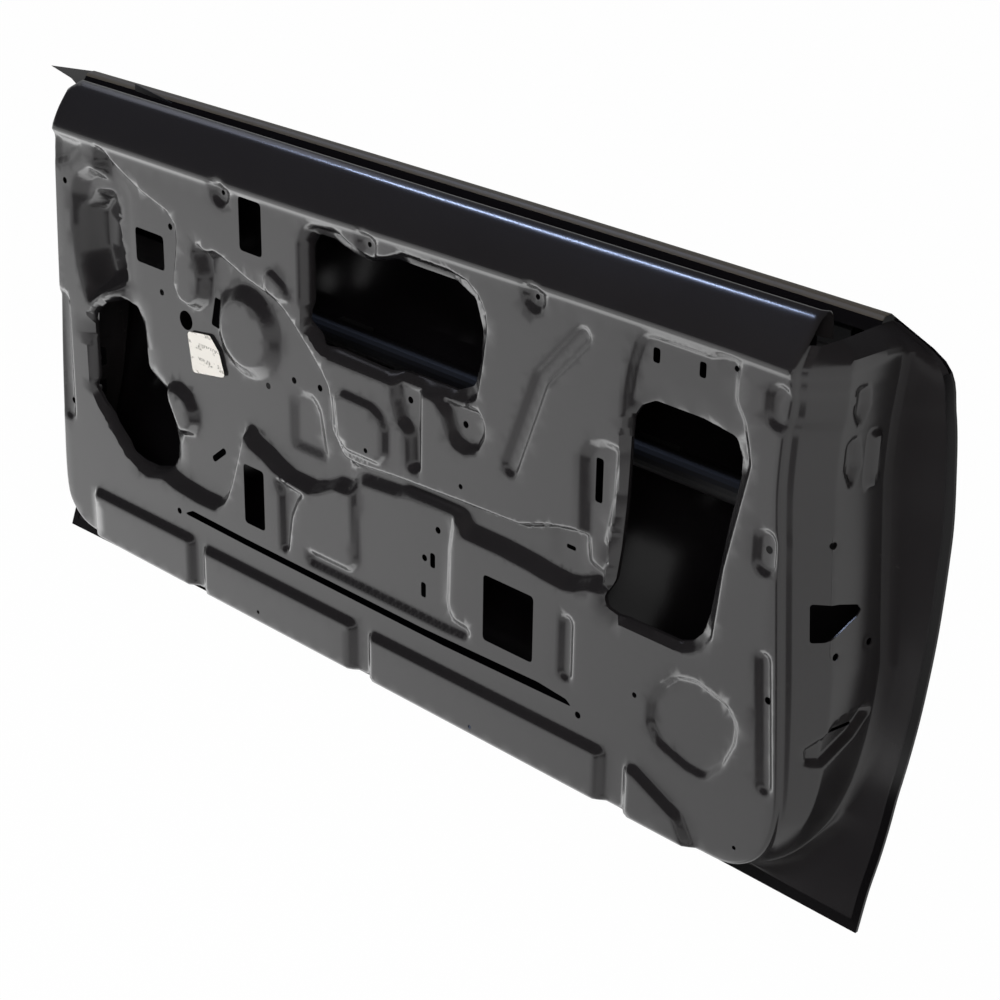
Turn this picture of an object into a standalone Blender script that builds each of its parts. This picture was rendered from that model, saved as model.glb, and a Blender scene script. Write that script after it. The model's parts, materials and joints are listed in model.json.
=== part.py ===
"""Door shell of a two-door coupe, right-hand side, as pressed and spot-welded steel.

X runs rearwards along the door, Y from the cabin to the outer skin, Z up. Shares of length and height
are counted on the flat face of the inner panel, from the front end of its crease and its lower edge.
Each pressing is an open sheet that Solidify thickens: its plan is triangulated between the outlines of
its pressed forms, and every point is then pushed to its depth. The upper hinge face is the origin.
"""

import math

import bmesh
import bpy
import numpy as np
from mathutils import Matrix, Vector
from mathutils.geometry import delaunay_2d_cdt

# Driving sizes of the shell, in metres
panel_length = 1.1625
panel_height = 0.58125
skin_depth = 0.1358
skin_bow = 0.0075
inner_sheet = 0.0009
skin_sheet = 0.0009
reinforcement_sheet = 0.0015
fit_gap = 0.0003
hem_adhesive = 0.0008
hem_lip = 0.009
overrun = 0.02
weld_distance = 0.0004

# Depths of the pressed forms, away from the cabin
regulator_depth = 0.014
channel_depth = 0.0085
rim_depth = 0.0145
pocket_depth = 0.042
recess_depth = 0.007
step_depth = 0.004
boss_depth = 0.006
bead_depth = 0.005
pad_height = 0.0075
disc_height = 0.008
lobe_depth = 0.011

# Widths of their walls in plan, and radii of their corners
steep_wall = 0.007
soft_wall = 0.011
wide_wall = 0.016
bead_wall = 0.0055
large_radius = 0.022
form_radius = 0.011
hole_radius = 0.006
slot_radius = 0.0035

# Belt roll along the top of the inner panel
shoulder_lip = 0.0065
shoulder_rise_share = 0.0848
shoulder_rise = shoulder_rise_share * panel_height
shoulder_reach = 0.041
roll_flange = 0.030
roll_thickness = 0.010
roll_flange_shares = ((0.35, 0.03), (0.75, 0.22), (1.0, 1.0))

# Round holes and bosses
screw_hole = 0.0042
small_hole = 0.0032
plug_hole = 0.0126
boss_radius = 0.0178
hole_flange = 0.0045
disc_radius = 0.051

# Half widths of the narrow beads and notches
long_bead = 0.0130
slanted_bead = 0.0125
rear_bead = 0.0105
short_bead = 0.0110
upper_notch = 0.0165
lower_notch = 0.0150

# Beam, mastic and brackets
beam_radius_share = 0.1178
beam_radius = beam_radius_share * skin_depth
beam_wall = 0.0024
mastic_gap_share = 0.0552
mastic_gap = mastic_gap_share * skin_depth
mastic_length = 0.055
bracket_length = 0.085
bracket_height_share = 0.1290
bracket_height = bracket_height_share * panel_height
bracket_flange_share = 0.2209
bracket_flange = bracket_flange_share * skin_depth

# Hinges, check arm and latch: widths follow the door's depth and heights its height
hinge_width_share = 0.4566
hinge_plate_width = hinge_width_share * skin_depth
hinge_height_share = 0.1548
hinge_plate_height = hinge_height_share * panel_height
hinge_bolt_hole = 0.0055
bolt_pitch_share = 0.0757
hinge_bolt_pitch = bolt_pitch_share * panel_height
nut_plate_thickness = 0.006
nut_width_share = 0.1915
nut_plate_width = nut_width_share * skin_depth
nut_height_share = 0.1204
nut_plate_height = nut_height_share * panel_height
cage_clearance = 0.0010
cage_sheet = 0.0010
cage_wing_share = 0.7
cage_length_share = 0.30
check_height_share = 0.1032
check_plate_height = check_height_share * panel_height
check_hole_width_share = 0.1325
check_hole_width = check_hole_width_share * skin_depth
check_hole_height_share = 0.0447
check_hole_height = check_hole_height_share * panel_height
latch_width_share = 0.486
latch_plate_width = latch_width_share * skin_depth
latch_height_share = 0.2409
latch_plate_height = latch_height_share * panel_height
latch_rise_share = 0.0120
latch_plate_rise = latch_rise_share * panel_height
screw_overrun = 0.030

# Weld nuts
nut_flats = 0.011
nut_height = 0.005

# Belt reinforcements and mirror gusset
belt_fold = 0.006
belt_rise = 0.0012
belt_drop = 0.012
belt_strip_height = 0.068
belt_strip_bulge = 0.012
belt_slot_length = 0.014
belt_slot_height = 0.005
strip_fold_shares = (1.25, 2.0)
roll_strip_height = 0.046
roll_strip_return = 0.013
roll_strip_top_share = 0.30
gusset_length = 0.075
gusset_height = 0.052
gusset_front_share = 0.25
gusset_top_shares = (0.45, 0.75)
gusset_belt_share = 0.03

label_thickness = 0.0003

arc_steps = 1
hole_sides = 6
boss_sides = 10
longest_edge = 0.11
longest_crease_edge = 0.15

# Face of the inner panel: from the front end of the crease down, round and up to the rear end of the roll
face_shares = [
    (-0.0215, 1.050), (-0.0190, 0.981), (-0.0240, 0.896), (-0.0400, 0.240), (-0.0420, 0.139),
    (-0.0395, 0.083), (-0.0310, 0.055), (-0.0160, 0.030), (0.0000, 0.020), (0.0300, 0.0155),
    (0.5000, 0.013), (0.9300, 0.008), (0.9620, 0.010), (0.9840, 0.033), (0.9980, 0.064), (1.0060, 0.100),
    (1.0105, 0.139), (1.0120, 0.184), (1.0080, 0.300), (1.0025, 0.440), (0.9910, 0.730), (0.9890, 0.800),
    (0.9920, 0.912), (0.9980, 1.003), (1.0000, 1.040), (0.9980, 1.086),
]
roll_front_shares = (-0.012, 1.066)
crease_shares = [(-0.03, 0.979), (0.29, 0.985), (0.40, 0.988), (0.60, 0.998), (0.93, 1.005), (1.01, 1.003)]

# Section of the shoulder above the crease: share of its rise, share of its reach (below zero: the lip)
shoulder_shares = [
    (-0.24, 0.0), (-0.02, -0.16), (0.20, -0.13), (0.42, 0.03), (0.64, 0.30), (0.83, 0.62), (1.0, 1.0),
]

# Section of the skin: height share, depth share; and its front and rear edge at each height
skin_rows_shares = [
    (-0.019, 0.170, -0.056, 1.0950), (0.048, 0.320, -0.061, 1.0915), (0.096, 0.440, -0.064, 1.0900),
    (0.144, 0.550, -0.067, 1.0880), (0.213, 0.690, -0.070, 1.0850), (0.304, 0.815, -0.074, 1.0855),
    (0.384, 0.884, -0.079, 1.0865), (0.528, 0.960, -0.086, 1.0880), (0.672, 1.000, -0.092, 1.0880),
    (0.800, 1.014, -0.101, 1.0840), (0.912, 1.000, -0.112, 1.0784), (0.990, 0.975, -0.126, 1.0690),
    (1.013, 0.960, -0.168, 1.0530),
]
belt_front_shares = (-0.084, 1.032)
belt_rear_shares = (1.0116, 1.052)
belt_depth_share = 0.925
bow_middle_share = 0.6
bow_rear_share = 1.088
skin_columns_shares = [0.0, 0.06, 0.16, 0.28, 0.40, 0.52, 0.64, 0.76, 0.88, 0.96, 1.0]

regulator_shares = [
    (0.055, 0.974), (0.075, 0.950), (0.092, 0.931), (0.131, 0.898), (0.173, 0.875), (0.186, 0.850),
    (0.187, 0.816), (0.183, 0.771), (0.178, 0.721), (0.187, 0.687), (0.202, 0.683), (0.216, 0.704),
    (0.220, 0.752), (0.212, 0.806), (0.218, 0.835), (0.232, 0.818), (0.246, 0.827), (0.260, 0.822),
    (0.300, 0.794), (0.332, 0.779), (0.356, 0.760), (0.370, 0.738), (0.395, 0.693), (0.412, 0.659),
    (0.423, 0.631), (0.427, 0.592), (0.428, 0.540), (0.450, 0.480), (0.448, 0.412), (0.429, 0.408),
    (0.406, 0.382), (0.390, 0.370), (0.353, 0.371), (0.332, 0.386), (0.317, 0.401), (0.293, 0.416),
    (0.286, 0.436), (0.277, 0.380), (0.268, 0.324), (0.257, 0.270), (0.249, 0.246), (0.235, 0.224),
    (0.204, 0.223), (0.165, 0.230), (0.145, 0.240), (0.117, 0.226), (0.098, 0.234), (0.070, 0.274),
    (0.044, 0.324), (0.026, 0.374), (0.019, 0.408), (0.021, 0.560), (0.026, 0.573), (0.044, 0.598),
    (0.078, 0.637), (0.084, 0.700), (0.082, 0.800), (0.074, 0.880), (0.050, 0.930),
]
channel_shares = [
    (0.400, 0.545), (0.429, 0.526), (0.437, 0.503), (0.448, 0.489), (0.468, 0.486), (0.520, 0.495),
    (0.608, 0.504), (0.690, 0.510), (0.704, 0.520), (0.724, 0.534), (0.757, 0.548), (0.800, 0.548),
    (0.800, 0.444), (0.782, 0.439), (0.763, 0.422), (0.749, 0.416), (0.724, 0.419), (0.704, 0.424),
    (0.665, 0.429), (0.613, 0.430), (0.605, 0.457), (0.530, 0.453), (0.516, 0.446), (0.466, 0.438),
    (0.451, 0.408), (0.429, 0.408), (0.400, 0.380),
]
pocket_shares = [
    (0.004, 0.838), (0.002, 0.760), (0.008, 0.676), (0.016, 0.620), (0.024, 0.585), (0.050, 0.622),
    (0.086, 0.655), (0.094, 0.720), (0.095, 0.802), (0.091, 0.859), (0.080, 0.893), (0.060, 0.912),
    (0.036, 0.910), (0.014, 0.885),
]
corner_hollow_shares = [(-0.021, 0.965), (0.040, 0.962), (0.008, 0.905), (-0.023, 0.885)]
upper_rim_shares = [
    (0.382, 0.912), (0.382, 0.788), (0.387, 0.749), (0.398, 0.715), (0.412, 0.696), (0.423, 0.690),
    (0.513, 0.690), (0.552, 0.693), (0.612, 0.699), (0.631, 0.723), (0.638, 0.788), (0.644, 0.872),
    (0.642, 0.906), (0.634, 0.934), (0.617, 0.958), (0.592, 0.967), (0.528, 0.967), (0.507, 0.948),
    (0.482, 0.934), (0.457, 0.948), (0.438, 0.965), (0.401, 0.960), (0.390, 0.948),
]
upper_hole_shares = [
    (0.388, 0.906), (0.388, 0.751), (0.410, 0.703), (0.499, 0.701), (0.524, 0.711), (0.592, 0.714),
    (0.616, 0.738), (0.624, 0.790), (0.626, 0.858), (0.616, 0.915), (0.590, 0.937), (0.510, 0.937),
    (0.485, 0.918), (0.468, 0.913), (0.448, 0.919), (0.420, 0.933), (0.397, 0.932),
]
right_recess_shares = [
    (0.819, 0.912), (0.814, 0.850), (0.813, 0.760), (0.804, 0.576), (0.797, 0.464), (0.799, 0.427),
    (0.808, 0.408), (0.822, 0.400), (0.897, 0.400), (0.908, 0.408), (0.920, 0.425), (0.928, 0.447),
    (0.936, 0.592), (0.948, 0.704), (0.959, 0.805), (0.956, 0.838), (0.950, 0.883), (0.940, 0.915),
    (0.940, 0.950), (0.943, 0.978), (0.935, 0.992), (0.920, 0.990), (0.908, 0.981), (0.844, 0.981),
    (0.833, 0.976), (0.826, 0.958),
]
right_hole_shares = [
    (0.844, 0.853), (0.828, 0.835), (0.819, 0.807), (0.818, 0.751), (0.815, 0.632), (0.811, 0.542),
    (0.806, 0.475), (0.797, 0.436), (0.801, 0.417), (0.813, 0.408), (0.887, 0.409), (0.901, 0.421),
    (0.912, 0.446), (0.918, 0.486), (0.932, 0.660), (0.943, 0.773), (0.943, 0.805), (0.936, 0.842),
    (0.898, 0.853),
]
left_hole_shares = [
    (0.024, 0.560), (0.048, 0.600), (0.071, 0.615), (0.092, 0.611), (0.102, 0.578), (0.105, 0.529),
    (0.107, 0.480), (0.116, 0.462), (0.139, 0.442), (0.136, 0.418), (0.147, 0.387), (0.155, 0.330),
    (0.153, 0.285), (0.143, 0.258), (0.116, 0.241), (0.099, 0.245), (0.082, 0.262), (0.054, 0.313),
    (0.034, 0.358), (0.023, 0.387),
]
first_lobe_shares = [
    (0.514, 0.705), (0.516, 0.659), (0.524, 0.614), (0.535, 0.598), (0.537, 0.520), (0.557, 0.520),
    (0.558, 0.705),
]
second_lobe_shares = [
    (0.563, 0.705), (0.577, 0.687), (0.586, 0.670), (0.594, 0.631), (0.601, 0.613), (0.617, 0.606),
    (0.634, 0.618), (0.644, 0.655), (0.643, 0.687), (0.634, 0.712),
]
raised_pad_shares = [
    (0.433, 0.617), (0.446, 0.637), (0.490, 0.634), (0.504, 0.620), (0.512, 0.592), (0.512, 0.535),
    (0.500, 0.507), (0.452, 0.507), (0.438, 0.530),
]
slot_recess_shares = [
    (0.766, 0.560), (0.764, 0.704), (0.774, 0.739), (0.792, 0.752), (0.815, 0.750), (0.812, 0.640),
    (0.803, 0.544), (0.799, 0.464), (0.770, 0.480),
]
square_recess_shares = [(0.724, 0.456), (0.724, 0.533), (0.766, 0.533), (0.766, 0.456)]
pillow_shares = [
    (0.454, 0.424), (0.456, 0.262), (0.448, 0.243), (0.387, 0.243), (0.382, 0.224), (0.387, 0.203),
    (0.596, 0.203), (0.624, 0.206), (0.629, 0.224), (0.624, 0.242), (0.602, 0.2445), (0.598, 0.272),
    (0.600, 0.391), (0.606, 0.424),
]
funnel_shares = [
    (0.332, 0.376), (0.342, 0.335), (0.343, 0.212), (0.350, 0.203), (0.357, 0.211), (0.359, 0.240),
    (0.364, 0.296), (0.373, 0.335), (0.385, 0.362),
]
side_pocket_shares = [
    (0.347, 0.440), (0.347, 0.555), (0.364, 0.579), (0.381, 0.582), (0.391, 0.570), (0.398, 0.547),
    (0.408, 0.440),
]
half_moon_shares = [
    (0.146, 0.425), (0.143, 0.455), (0.149, 0.470), (0.166, 0.478), (0.186, 0.464), (0.197, 0.430),
    (0.199, 0.397), (0.190, 0.365), (0.166, 0.352),
]
small_pad_shares = [
    (0.330, 0.784), (0.328, 0.822), (0.342, 0.836), (0.362, 0.815), (0.374, 0.780), (0.352, 0.770),
]
corner_recess_shares = [
    (0.857, 0.220), (0.858, 0.275), (0.870, 0.315), (0.888, 0.350), (0.912, 0.359), (0.950, 0.340),
    (0.964, 0.305), (0.962, 0.260), (0.950, 0.205), (0.929, 0.160), (0.905, 0.163), (0.870, 0.185),
]
lower_pads_shares = [(0.016, 0.200, 0.138), (0.214, 0.464, 0.131), (0.482, 0.810, 0.126)]
rear_pad_shares = [(0.834, -0.05), (0.834, 0.118), (0.848, 0.124), (0.905, 0.070), (0.940, -0.05)]
pad_foot_share = -0.05

# Through holes: plain outlines, then rectangles by their corners
drain_slot_shares = [
    (0.180, 0.181), (0.196, 0.197), (0.288, 0.193), (0.560, 0.189), (0.720, 0.196), (0.757, 0.189),
    (0.765, 0.178), (0.592, 0.172), (0.288, 0.177),
]
crank_slot_shares = [(0.231, 0.709), (0.244, 0.707), (0.237, 0.639), (0.223, 0.643)]
rectangle_shares = [
    (0.0985, 0.721, 0.147, 0.799), (0.292, 0.851, 0.327, 0.966), (0.286, 0.233, 0.319, 0.372),
    (0.645, 0.230, 0.712, 0.373),
]
slit_shares = [
    (0.780, 0.617, 0.789, 0.705), (0.841, 0.925, 0.849, 0.953), (0.893, 0.928, 0.9005, 0.957),
    (0.566, 0.327, 0.573, 0.359), (0.553, 0.252, 0.560, 0.285), (0.7395, 0.488, 0.751, 0.497),
]
obround_shares = [(0.2196, 0.330), (0.236, 0.357)]
screw_holes_shares = [
    (0.160, 0.828), (0.140, 0.670), (0.3136, 0.557), (0.355, 0.594), (0.395, 0.601), (0.534, 0.663),
    (0.610, 0.659), (0.577, 0.415), (0.558, 0.341), (0.981, 0.664), (0.991, 0.377), (-0.014, 0.572),
    (-0.021, 0.326), (-0.0045, 0.860), (0.172, 0.181), (0.773, 0.167),
]
nut_holes_shares = [
    (0.263, 0.956), (0.482, 0.956), (0.704, 0.970), (0.484, 0.532), (0.613, 0.537), (0.933, 0.966),
    (0.842, 0.268),
]
plug_hole_shares = (0.180, 0.628)
bosses_shares = [(0.263, 0.956), (0.482, 0.956), (0.704, 0.970)]
disc_shares = (0.286, 0.661)
beads_shares = [
    ([(-0.023, 0.576), (-0.025, 0.300)], long_bead),
    ([(0.678, 0.621), (0.716, 0.824), (0.764, 0.931)], slanted_bead),
    ([(0.986, 0.456), (0.9965, 0.208)], rear_bead),
    ([(0.7545, 0.350), (0.7545, 0.243)], short_bead),
    ([(0.984, 0.945), (0.984, 0.915)], upper_notch),
    ([(0.980, 0.680), (0.980, 0.640)], lower_notch),
]

# Return walls of the inner panel: for each fold its outward step, as a share of the skin's depth, and its
# share of the way back to the skin; then the place and direction in degrees where each set of folds holds.
front_folds_shares = [(0.0199, 0.25), (0.0398, 0.50), (0.0596, 0.75), (0.0781, 0.98), (0.1105, 1.0)]
bottom_folds_shares = [(0.0295, 0.25), (0.0589, 0.50), (0.0884, 0.75), (0.1178, 0.93), (0.2209, 1.0)]
rear_folds_shares = [(0.0552, 0.12), (0.1031, 0.135), (0.2541, 0.285), (0.3387, 0.79), (0.4308, 0.86)]
full_wall_share = 0.92
hem_row_share = 0.97
row_spread_share = 0.1
stations_shares = [
    (face_shares[1], 180.0, front_folds_shares), (face_shares[4], 180.0, front_folds_shares),
    (face_shares[9], 270.0, bottom_folds_shares), (face_shares[11], 270.0, bottom_folds_shares),
    (face_shares[16], 360.0, rear_folds_shares), (face_shares[24], 360.0, rear_folds_shares),
]

# The return walls, and the places on the face's edge where one ends and the next begins
wall_names = ("front_wall", "bottom_wall", "latch_wall")
wall_seams_shares = (face_shares[6], face_shares[13])

# Latch opening on the end wall: depth share, height share
latch_hole_shares = [
    (0.120, 0.573), (0.377, 0.566), (0.562, 0.554), (0.603, 0.541), (0.562, 0.531), (0.397, 0.512),
    (0.274, 0.498), (0.120, 0.497),
]
latch_screws_shares = [(0.325, 0.678), (0.690, 0.474), (0.353, 0.468)]
upper_hinge_share = 0.730
lower_hinge_share = 0.360
check_arm_share = 0.505
hinge_depth_share = 0.42
beam_height_share = 0.645
beam_front_share = 0.010
beam_rear_share = 1.005
mastic_shares = [0.13, 0.34, 0.55, 0.76]
belt_slots_shares = [0.10, 0.22, 0.40]
outer_strip_shares = (0.07, 0.97)
inner_strip_shares = (0.10, 0.985)
belt_stations = 9
label_shares = [(0.185, 0.608), (0.223, 0.619), (0.237, 0.590), (0.2465, 0.536), (0.192, 0.517)]
roll_hole_share = 0.972


def plan(shares):
    """Shares of length and height as points on the face, in metres."""
    return np.array(shares, float) * (panel_length, panel_height)


def rounded(points, radius, steps=arc_steps):
    """A closed outline with an arc of this radius, or as much as its edges allow, at each corner."""
    points = np.asarray(points, float)
    out = []
    for before, corner, after in zip(np.roll(points, 1, 0), points, np.roll(points, -1, 0)):
        into, on = before - corner, after - corner
        lengths = np.hypot(*into), np.hypot(*on)
        turn = math.pi - math.acos(np.clip(into @ on / (lengths[0] * lengths[1]), -1, 1))
        cut = min(radius * math.tan(turn / 2), *(length * 0.45 for length in lengths))
        start, end = corner + into / lengths[0] * cut, corner + on / lengths[1] * cut
        count = steps if turn > 0.9 else 1 if turn > 0.55 else 0
        if not count:
            out.append(corner)
            continue
        for i in range(count + 1):
            t = i / count
            out.append((1 - t) ** 2 * start + 2 * t * (1 - t) * corner + t * t * end)
    return np.array(out)


def ring(centre, radius, sides):
    angles = np.linspace(0, 2 * math.pi, sides, endpoint=False)
    return centre + radius * np.stack([np.cos(angles), np.sin(angles)], 1)


def stroke(centreline, half_width, steps=4):
    """The outline of a line drawn with a round pen."""
    points = np.asarray(centreline, float)
    out = []
    for line in (points, points[::-1]):
        for i, point in enumerate(line[:-1]):
            along = (line[i + 1] - point) / np.hypot(*(line[i + 1] - point))
            side = np.array([along[1], -along[0]]) * half_width
            out.append(point + side)
        out.append(line[-1] + side)
        start = math.atan2(side[1], side[0])
        for i in range(1, steps):
            angle = start + math.pi * i / steps
            out.append(line[-1] + half_width * np.array([math.cos(angle), math.sin(angle)]))
    return np.array(out)


def inside(points, outline):
    """Distance of each point from an outline, below zero outside it."""
    points = np.asarray(points, float)
    best = np.full(len(points), np.inf)
    crossings = np.zeros(len(points), int)
    for a, b in zip(outline, np.roll(outline, -1, 0)):
        edge = b - a
        along = np.clip((points - a) @ edge / (edge @ edge), 0, 1)
        best = np.minimum(best, np.hypot(*(points - a - along[:, None] * edge).T))
        level = (a[1] > points[:, 1]) != (b[1] > points[:, 1])
        rise = edge[1] if edge[1] else 1
        crossings += level & (points[:, 0] < a[0] + (points[:, 1] - a[1]) / rise * edge[0])
    return np.where(crossings % 2, best, -best)


def inset(outline, distance):
    """The outline moved inwards by this distance."""
    area = np.sum(outline[:, 0] * np.roll(outline[:, 1], -1) - np.roll(outline[:, 0], -1) * outline[:, 1])
    out = []
    for before, point, after in zip(np.roll(outline, 1, 0), outline, np.roll(outline, -1, 0)):
        first, second = point - before, after - point
        normals = [np.array([-e[1], e[0]]) / np.hypot(*e) for e in (first, second)]
        middle = normals[0] + normals[1]
        middle /= max(np.hypot(*middle), 0.5)
        cosine = max(middle @ normals[0], 0.6)
        out.append(point + middle * math.copysign(distance / cosine, area))
    return np.array(out)


class Form:
    """A pressed form: its outline, the width of its wall, and its depth, set as a level or added to one."""

    def __init__(self, outline, wall, depth, add=False):
        self.outline, self.wall, self.depth, self.add = outline, wall, depth, add
        self.floor = inset(outline, wall)

    def press(self, points, depths):
        share = np.clip(inside(points, self.outline) / (0.97 * self.wall), 0, 1)
        return depths + share * (self.depth if self.add else self.depth - depths)


def pressed_forms():
    """The forms in the order of pressing: a later one overrides or adds to those before it."""
    forms = [
        Form(rounded(plan(channel_shares), form_radius), steep_wall, channel_depth),
        Form(rounded(plan(regulator_shares), form_radius), soft_wall, regulator_depth),
        Form(rounded(plan(corner_hollow_shares), form_radius), soft_wall, bead_depth),
        Form(rounded(plan(pocket_shares), large_radius), wide_wall, pocket_depth),
        Form(rounded(plan(right_recess_shares), form_radius), steep_wall, recess_depth),
        Form(rounded(plan(slot_recess_shares), form_radius), soft_wall, recess_depth),
        Form(rounded(plan(square_recess_shares), hole_radius), bead_wall, channel_depth + step_depth),
        Form(rounded(plan(first_lobe_shares), form_radius), steep_wall, lobe_depth),
        Form(rounded(plan(second_lobe_shares), form_radius), steep_wall, lobe_depth),
        Form(rounded(plan(upper_rim_shares), form_radius), steep_wall, rim_depth),
        Form(inset(rounded(plan(right_hole_shares), form_radius), -soft_wall), steep_wall, rim_depth),
        Form(rounded(plan(pillow_shares), form_radius), soft_wall, step_depth),
        Form(rounded(plan(funnel_shares), form_radius), steep_wall, recess_depth),
        Form(rounded(plan(corner_recess_shares), large_radius), steep_wall, boss_depth),
        Form(rounded(plan(raised_pad_shares), form_radius), bead_wall, -boss_depth, add=True),
        Form(rounded(plan(side_pocket_shares), form_radius), soft_wall, bead_depth, add=True),
        Form(rounded(plan(half_moon_shares), form_radius), soft_wall, -disc_height, add=True),
        Form(rounded(plan(small_pad_shares), form_radius), bead_wall, -bead_depth, add=True),
        Form(ring(plan(disc_shares), disc_radius, 16), soft_wall, -disc_height, add=True),
    ]
    for left, right, top in lower_pads_shares:
        box = [(left, pad_foot_share), (left, top), (right, top), (right, pad_foot_share)]
        forms.append(Form(rounded(plan(box), form_radius), soft_wall, -pad_height))
    forms.append(Form(rounded(plan(rear_pad_shares), form_radius), soft_wall, -pad_height))
    for line, half_width in beads_shares:
        forms.append(Form(stroke(plan(line), half_width), bead_wall, bead_depth, add=True))
    for centre in bosses_shares:
        forms.append(Form(ring(plan(centre), boss_radius, boss_sides), steep_wall, boss_depth, add=True))
    return forms


def box_outline(low_u, low_v, high_u, high_v):
    return plan([(low_u, low_v), (low_u, high_v), (high_u, high_v), (high_u, low_v)])


def flanged_holes():
    """Large openings, whose edges turn away from the cabin."""
    shapes = (left_hole_shares, upper_hole_shares, right_hole_shares)
    return [rounded(plan(shape), form_radius) for shape in shapes]


def plain_holes():
    holes = [rounded(plan(drain_slot_shares), slot_radius), rounded(plan(crank_slot_shares), slot_radius)]
    holes += [rounded(box_outline(*corners), hole_radius) for corners in rectangle_shares]
    holes += [rounded(box_outline(*corners), slot_radius, 1) for corners in slit_shares]
    holes.append(stroke(plan(obround_shares), screw_hole, 3))
    holes += [ring(plan(centre), screw_hole, hole_sides) for centre in screw_holes_shares]
    holes += [ring(plan(centre), small_hole, hole_sides) for centre in nut_holes_shares]
    holes.append(ring(plan(plug_hole_shares), plug_hole, 12))
    return holes


def crease_height(x):
    line = plan(crease_shares)
    return np.interp(x, line[:, 0], line[:, 1])


def shoulder_depth(points):
    """Depth of the belt roll above the crease, and zero on the face below it."""
    rise = (points[:, 1] - crease_height(points[:, 0])) / shoulder_rise
    shares = np.array(shoulder_shares)
    scale = np.where(shares[:, 1] < 0, shoulder_lip / 0.16, shoulder_reach)
    return np.interp(rise, shares[:, 0], shares[:, 1] * scale)


def panel_depth(points, forms):
    depths = shoulder_depth(points)
    for form in forms:
        depths = form.press(points, depths)
    return depths


def skin_y(x, z):
    """Depth of the skin's middle surface."""
    v, u = z / panel_height, x / panel_length
    rows = [row[:2] for row in skin_rows_shares] + [(belt_rear_shares[1], belt_depth_share)]
    section = np.interp(v, *np.array(rows).T)
    rear = (bow_rear_share - bow_middle_share) / bow_middle_share
    return skin_depth * section + skin_bow * (rear ** 2 - (u / bow_middle_share - 1) ** 2)


def skin_outline():
    """The edge of the skin in plan, from the belt's front end down, round and up to its rear end."""
    front = [(row[2], row[0]) for row in skin_rows_shares[::-1]]
    rear = [(row[3], row[0]) for row in skin_rows_shares]
    return plan([belt_front_shares] + front + rear + [belt_rear_shares])


def reach(point, direction, outline):
    """Distance from a point to an outline along a direction."""
    best = math.inf
    for a, b in zip(outline, np.roll(outline, -1, 0)):
        edge = b - a
        cross = direction[0] * edge[1] - direction[1] * edge[0]
        if abs(cross) < 1e-12:
            continue
        offset = a - point
        along = (offset[0] * edge[1] - offset[1] * edge[0]) / cross
        on_edge = (offset[0] * direction[1] - offset[1] * direction[0]) / cross
        if along > 0 and -1e-9 <= on_edge <= 1 + 1e-9:
            best = min(best, along)
    return best


def split_long(outline, longest=longest_edge, closed=True):
    ends = np.roll(outline, -1, 0) if closed else outline[1:]
    out = []
    for a, b in zip(outline, ends):
        count = max(1, math.ceil(np.hypot(*(b - a)) / longest))
        out += [a + (b - a) * i / count for i in range(count)]
    return np.array(out if closed else out + [outline[-1]])


def triangulated(outer, loops, lines):
    """Triangles of the plan inside the outer loop, with every loop and line kept as edges."""
    points, edges = [], []
    for loop in [outer] + loops:
        first = len(points)
        points += [Vector(p) for p in loop]
        edges += [(first + i, first + (i + 1) % len(loop)) for i in range(len(loop))]
    for line in lines:
        first = len(points)
        points += [Vector(p) for p in line]
        edges += [(first + i, first + i + 1) for i in range(len(line) - 1)]
    found, _, faces, *_ = delaunay_2d_cdt(points, edges, [], 0, weld_distance)
    return np.array([tuple(p) for p in found]), np.array(faces)


def boundary_chain(bm, start, end):
    """Boundary vertices from the one nearest start to the one nearest end, going down and round."""
    open_edges = {}
    for edge in bm.edges:
        if len(edge.link_faces) == 1:
            for vert in edge.verts:
                open_edges.setdefault(vert, []).append(edge.other_vert(vert))

    def nearest(place):
        return min(open_edges, key=lambda vert: (vert.co.x - place[0]) ** 2 + (vert.co.z - place[1]) ** 2)

    first, last = nearest(start), nearest(end)
    chain = [first, min(open_edges[first], key=lambda vert: vert.co.z)]
    while chain[-1] is not last:
        chain.append(next(vert for vert in open_edges[chain[-1]] if vert is not chain[-2]))
    return chain


def strip(bm, rows):
    """Quads between successive rows of vertices."""
    for upper, lower in zip(rows, rows[1:]):
        for i in range(len(upper) - 1):
            bm.faces.new((upper[i], upper[i + 1], lower[i + 1], lower[i]))


def station_values(chain):
    """Direction and folds at each vertex of the chain, read between the stations along its length."""
    places = np.array([(vert.co.x, vert.co.z) for vert in chain])
    run = np.concatenate([[0], np.cumsum(np.hypot(*np.diff(places, axis=0).T))])
    stops = [run[np.argmin(np.hypot(*(places - plan(s[0])).T))] for s in stations_shares]
    angles = np.interp(run, stops, [s[1] for s in stations_shares])
    folds = np.array([s[2] for s in stations_shares])
    steps = [np.interp(run, stops, folds[:, k, 0]) * skin_depth for k in range(folds.shape[1])]
    shares = [np.interp(run, stops, folds[:, k, 1]) for k in range(folds.shape[1])]
    return places, np.radians(angles), np.array(steps), np.array(shares)


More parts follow.
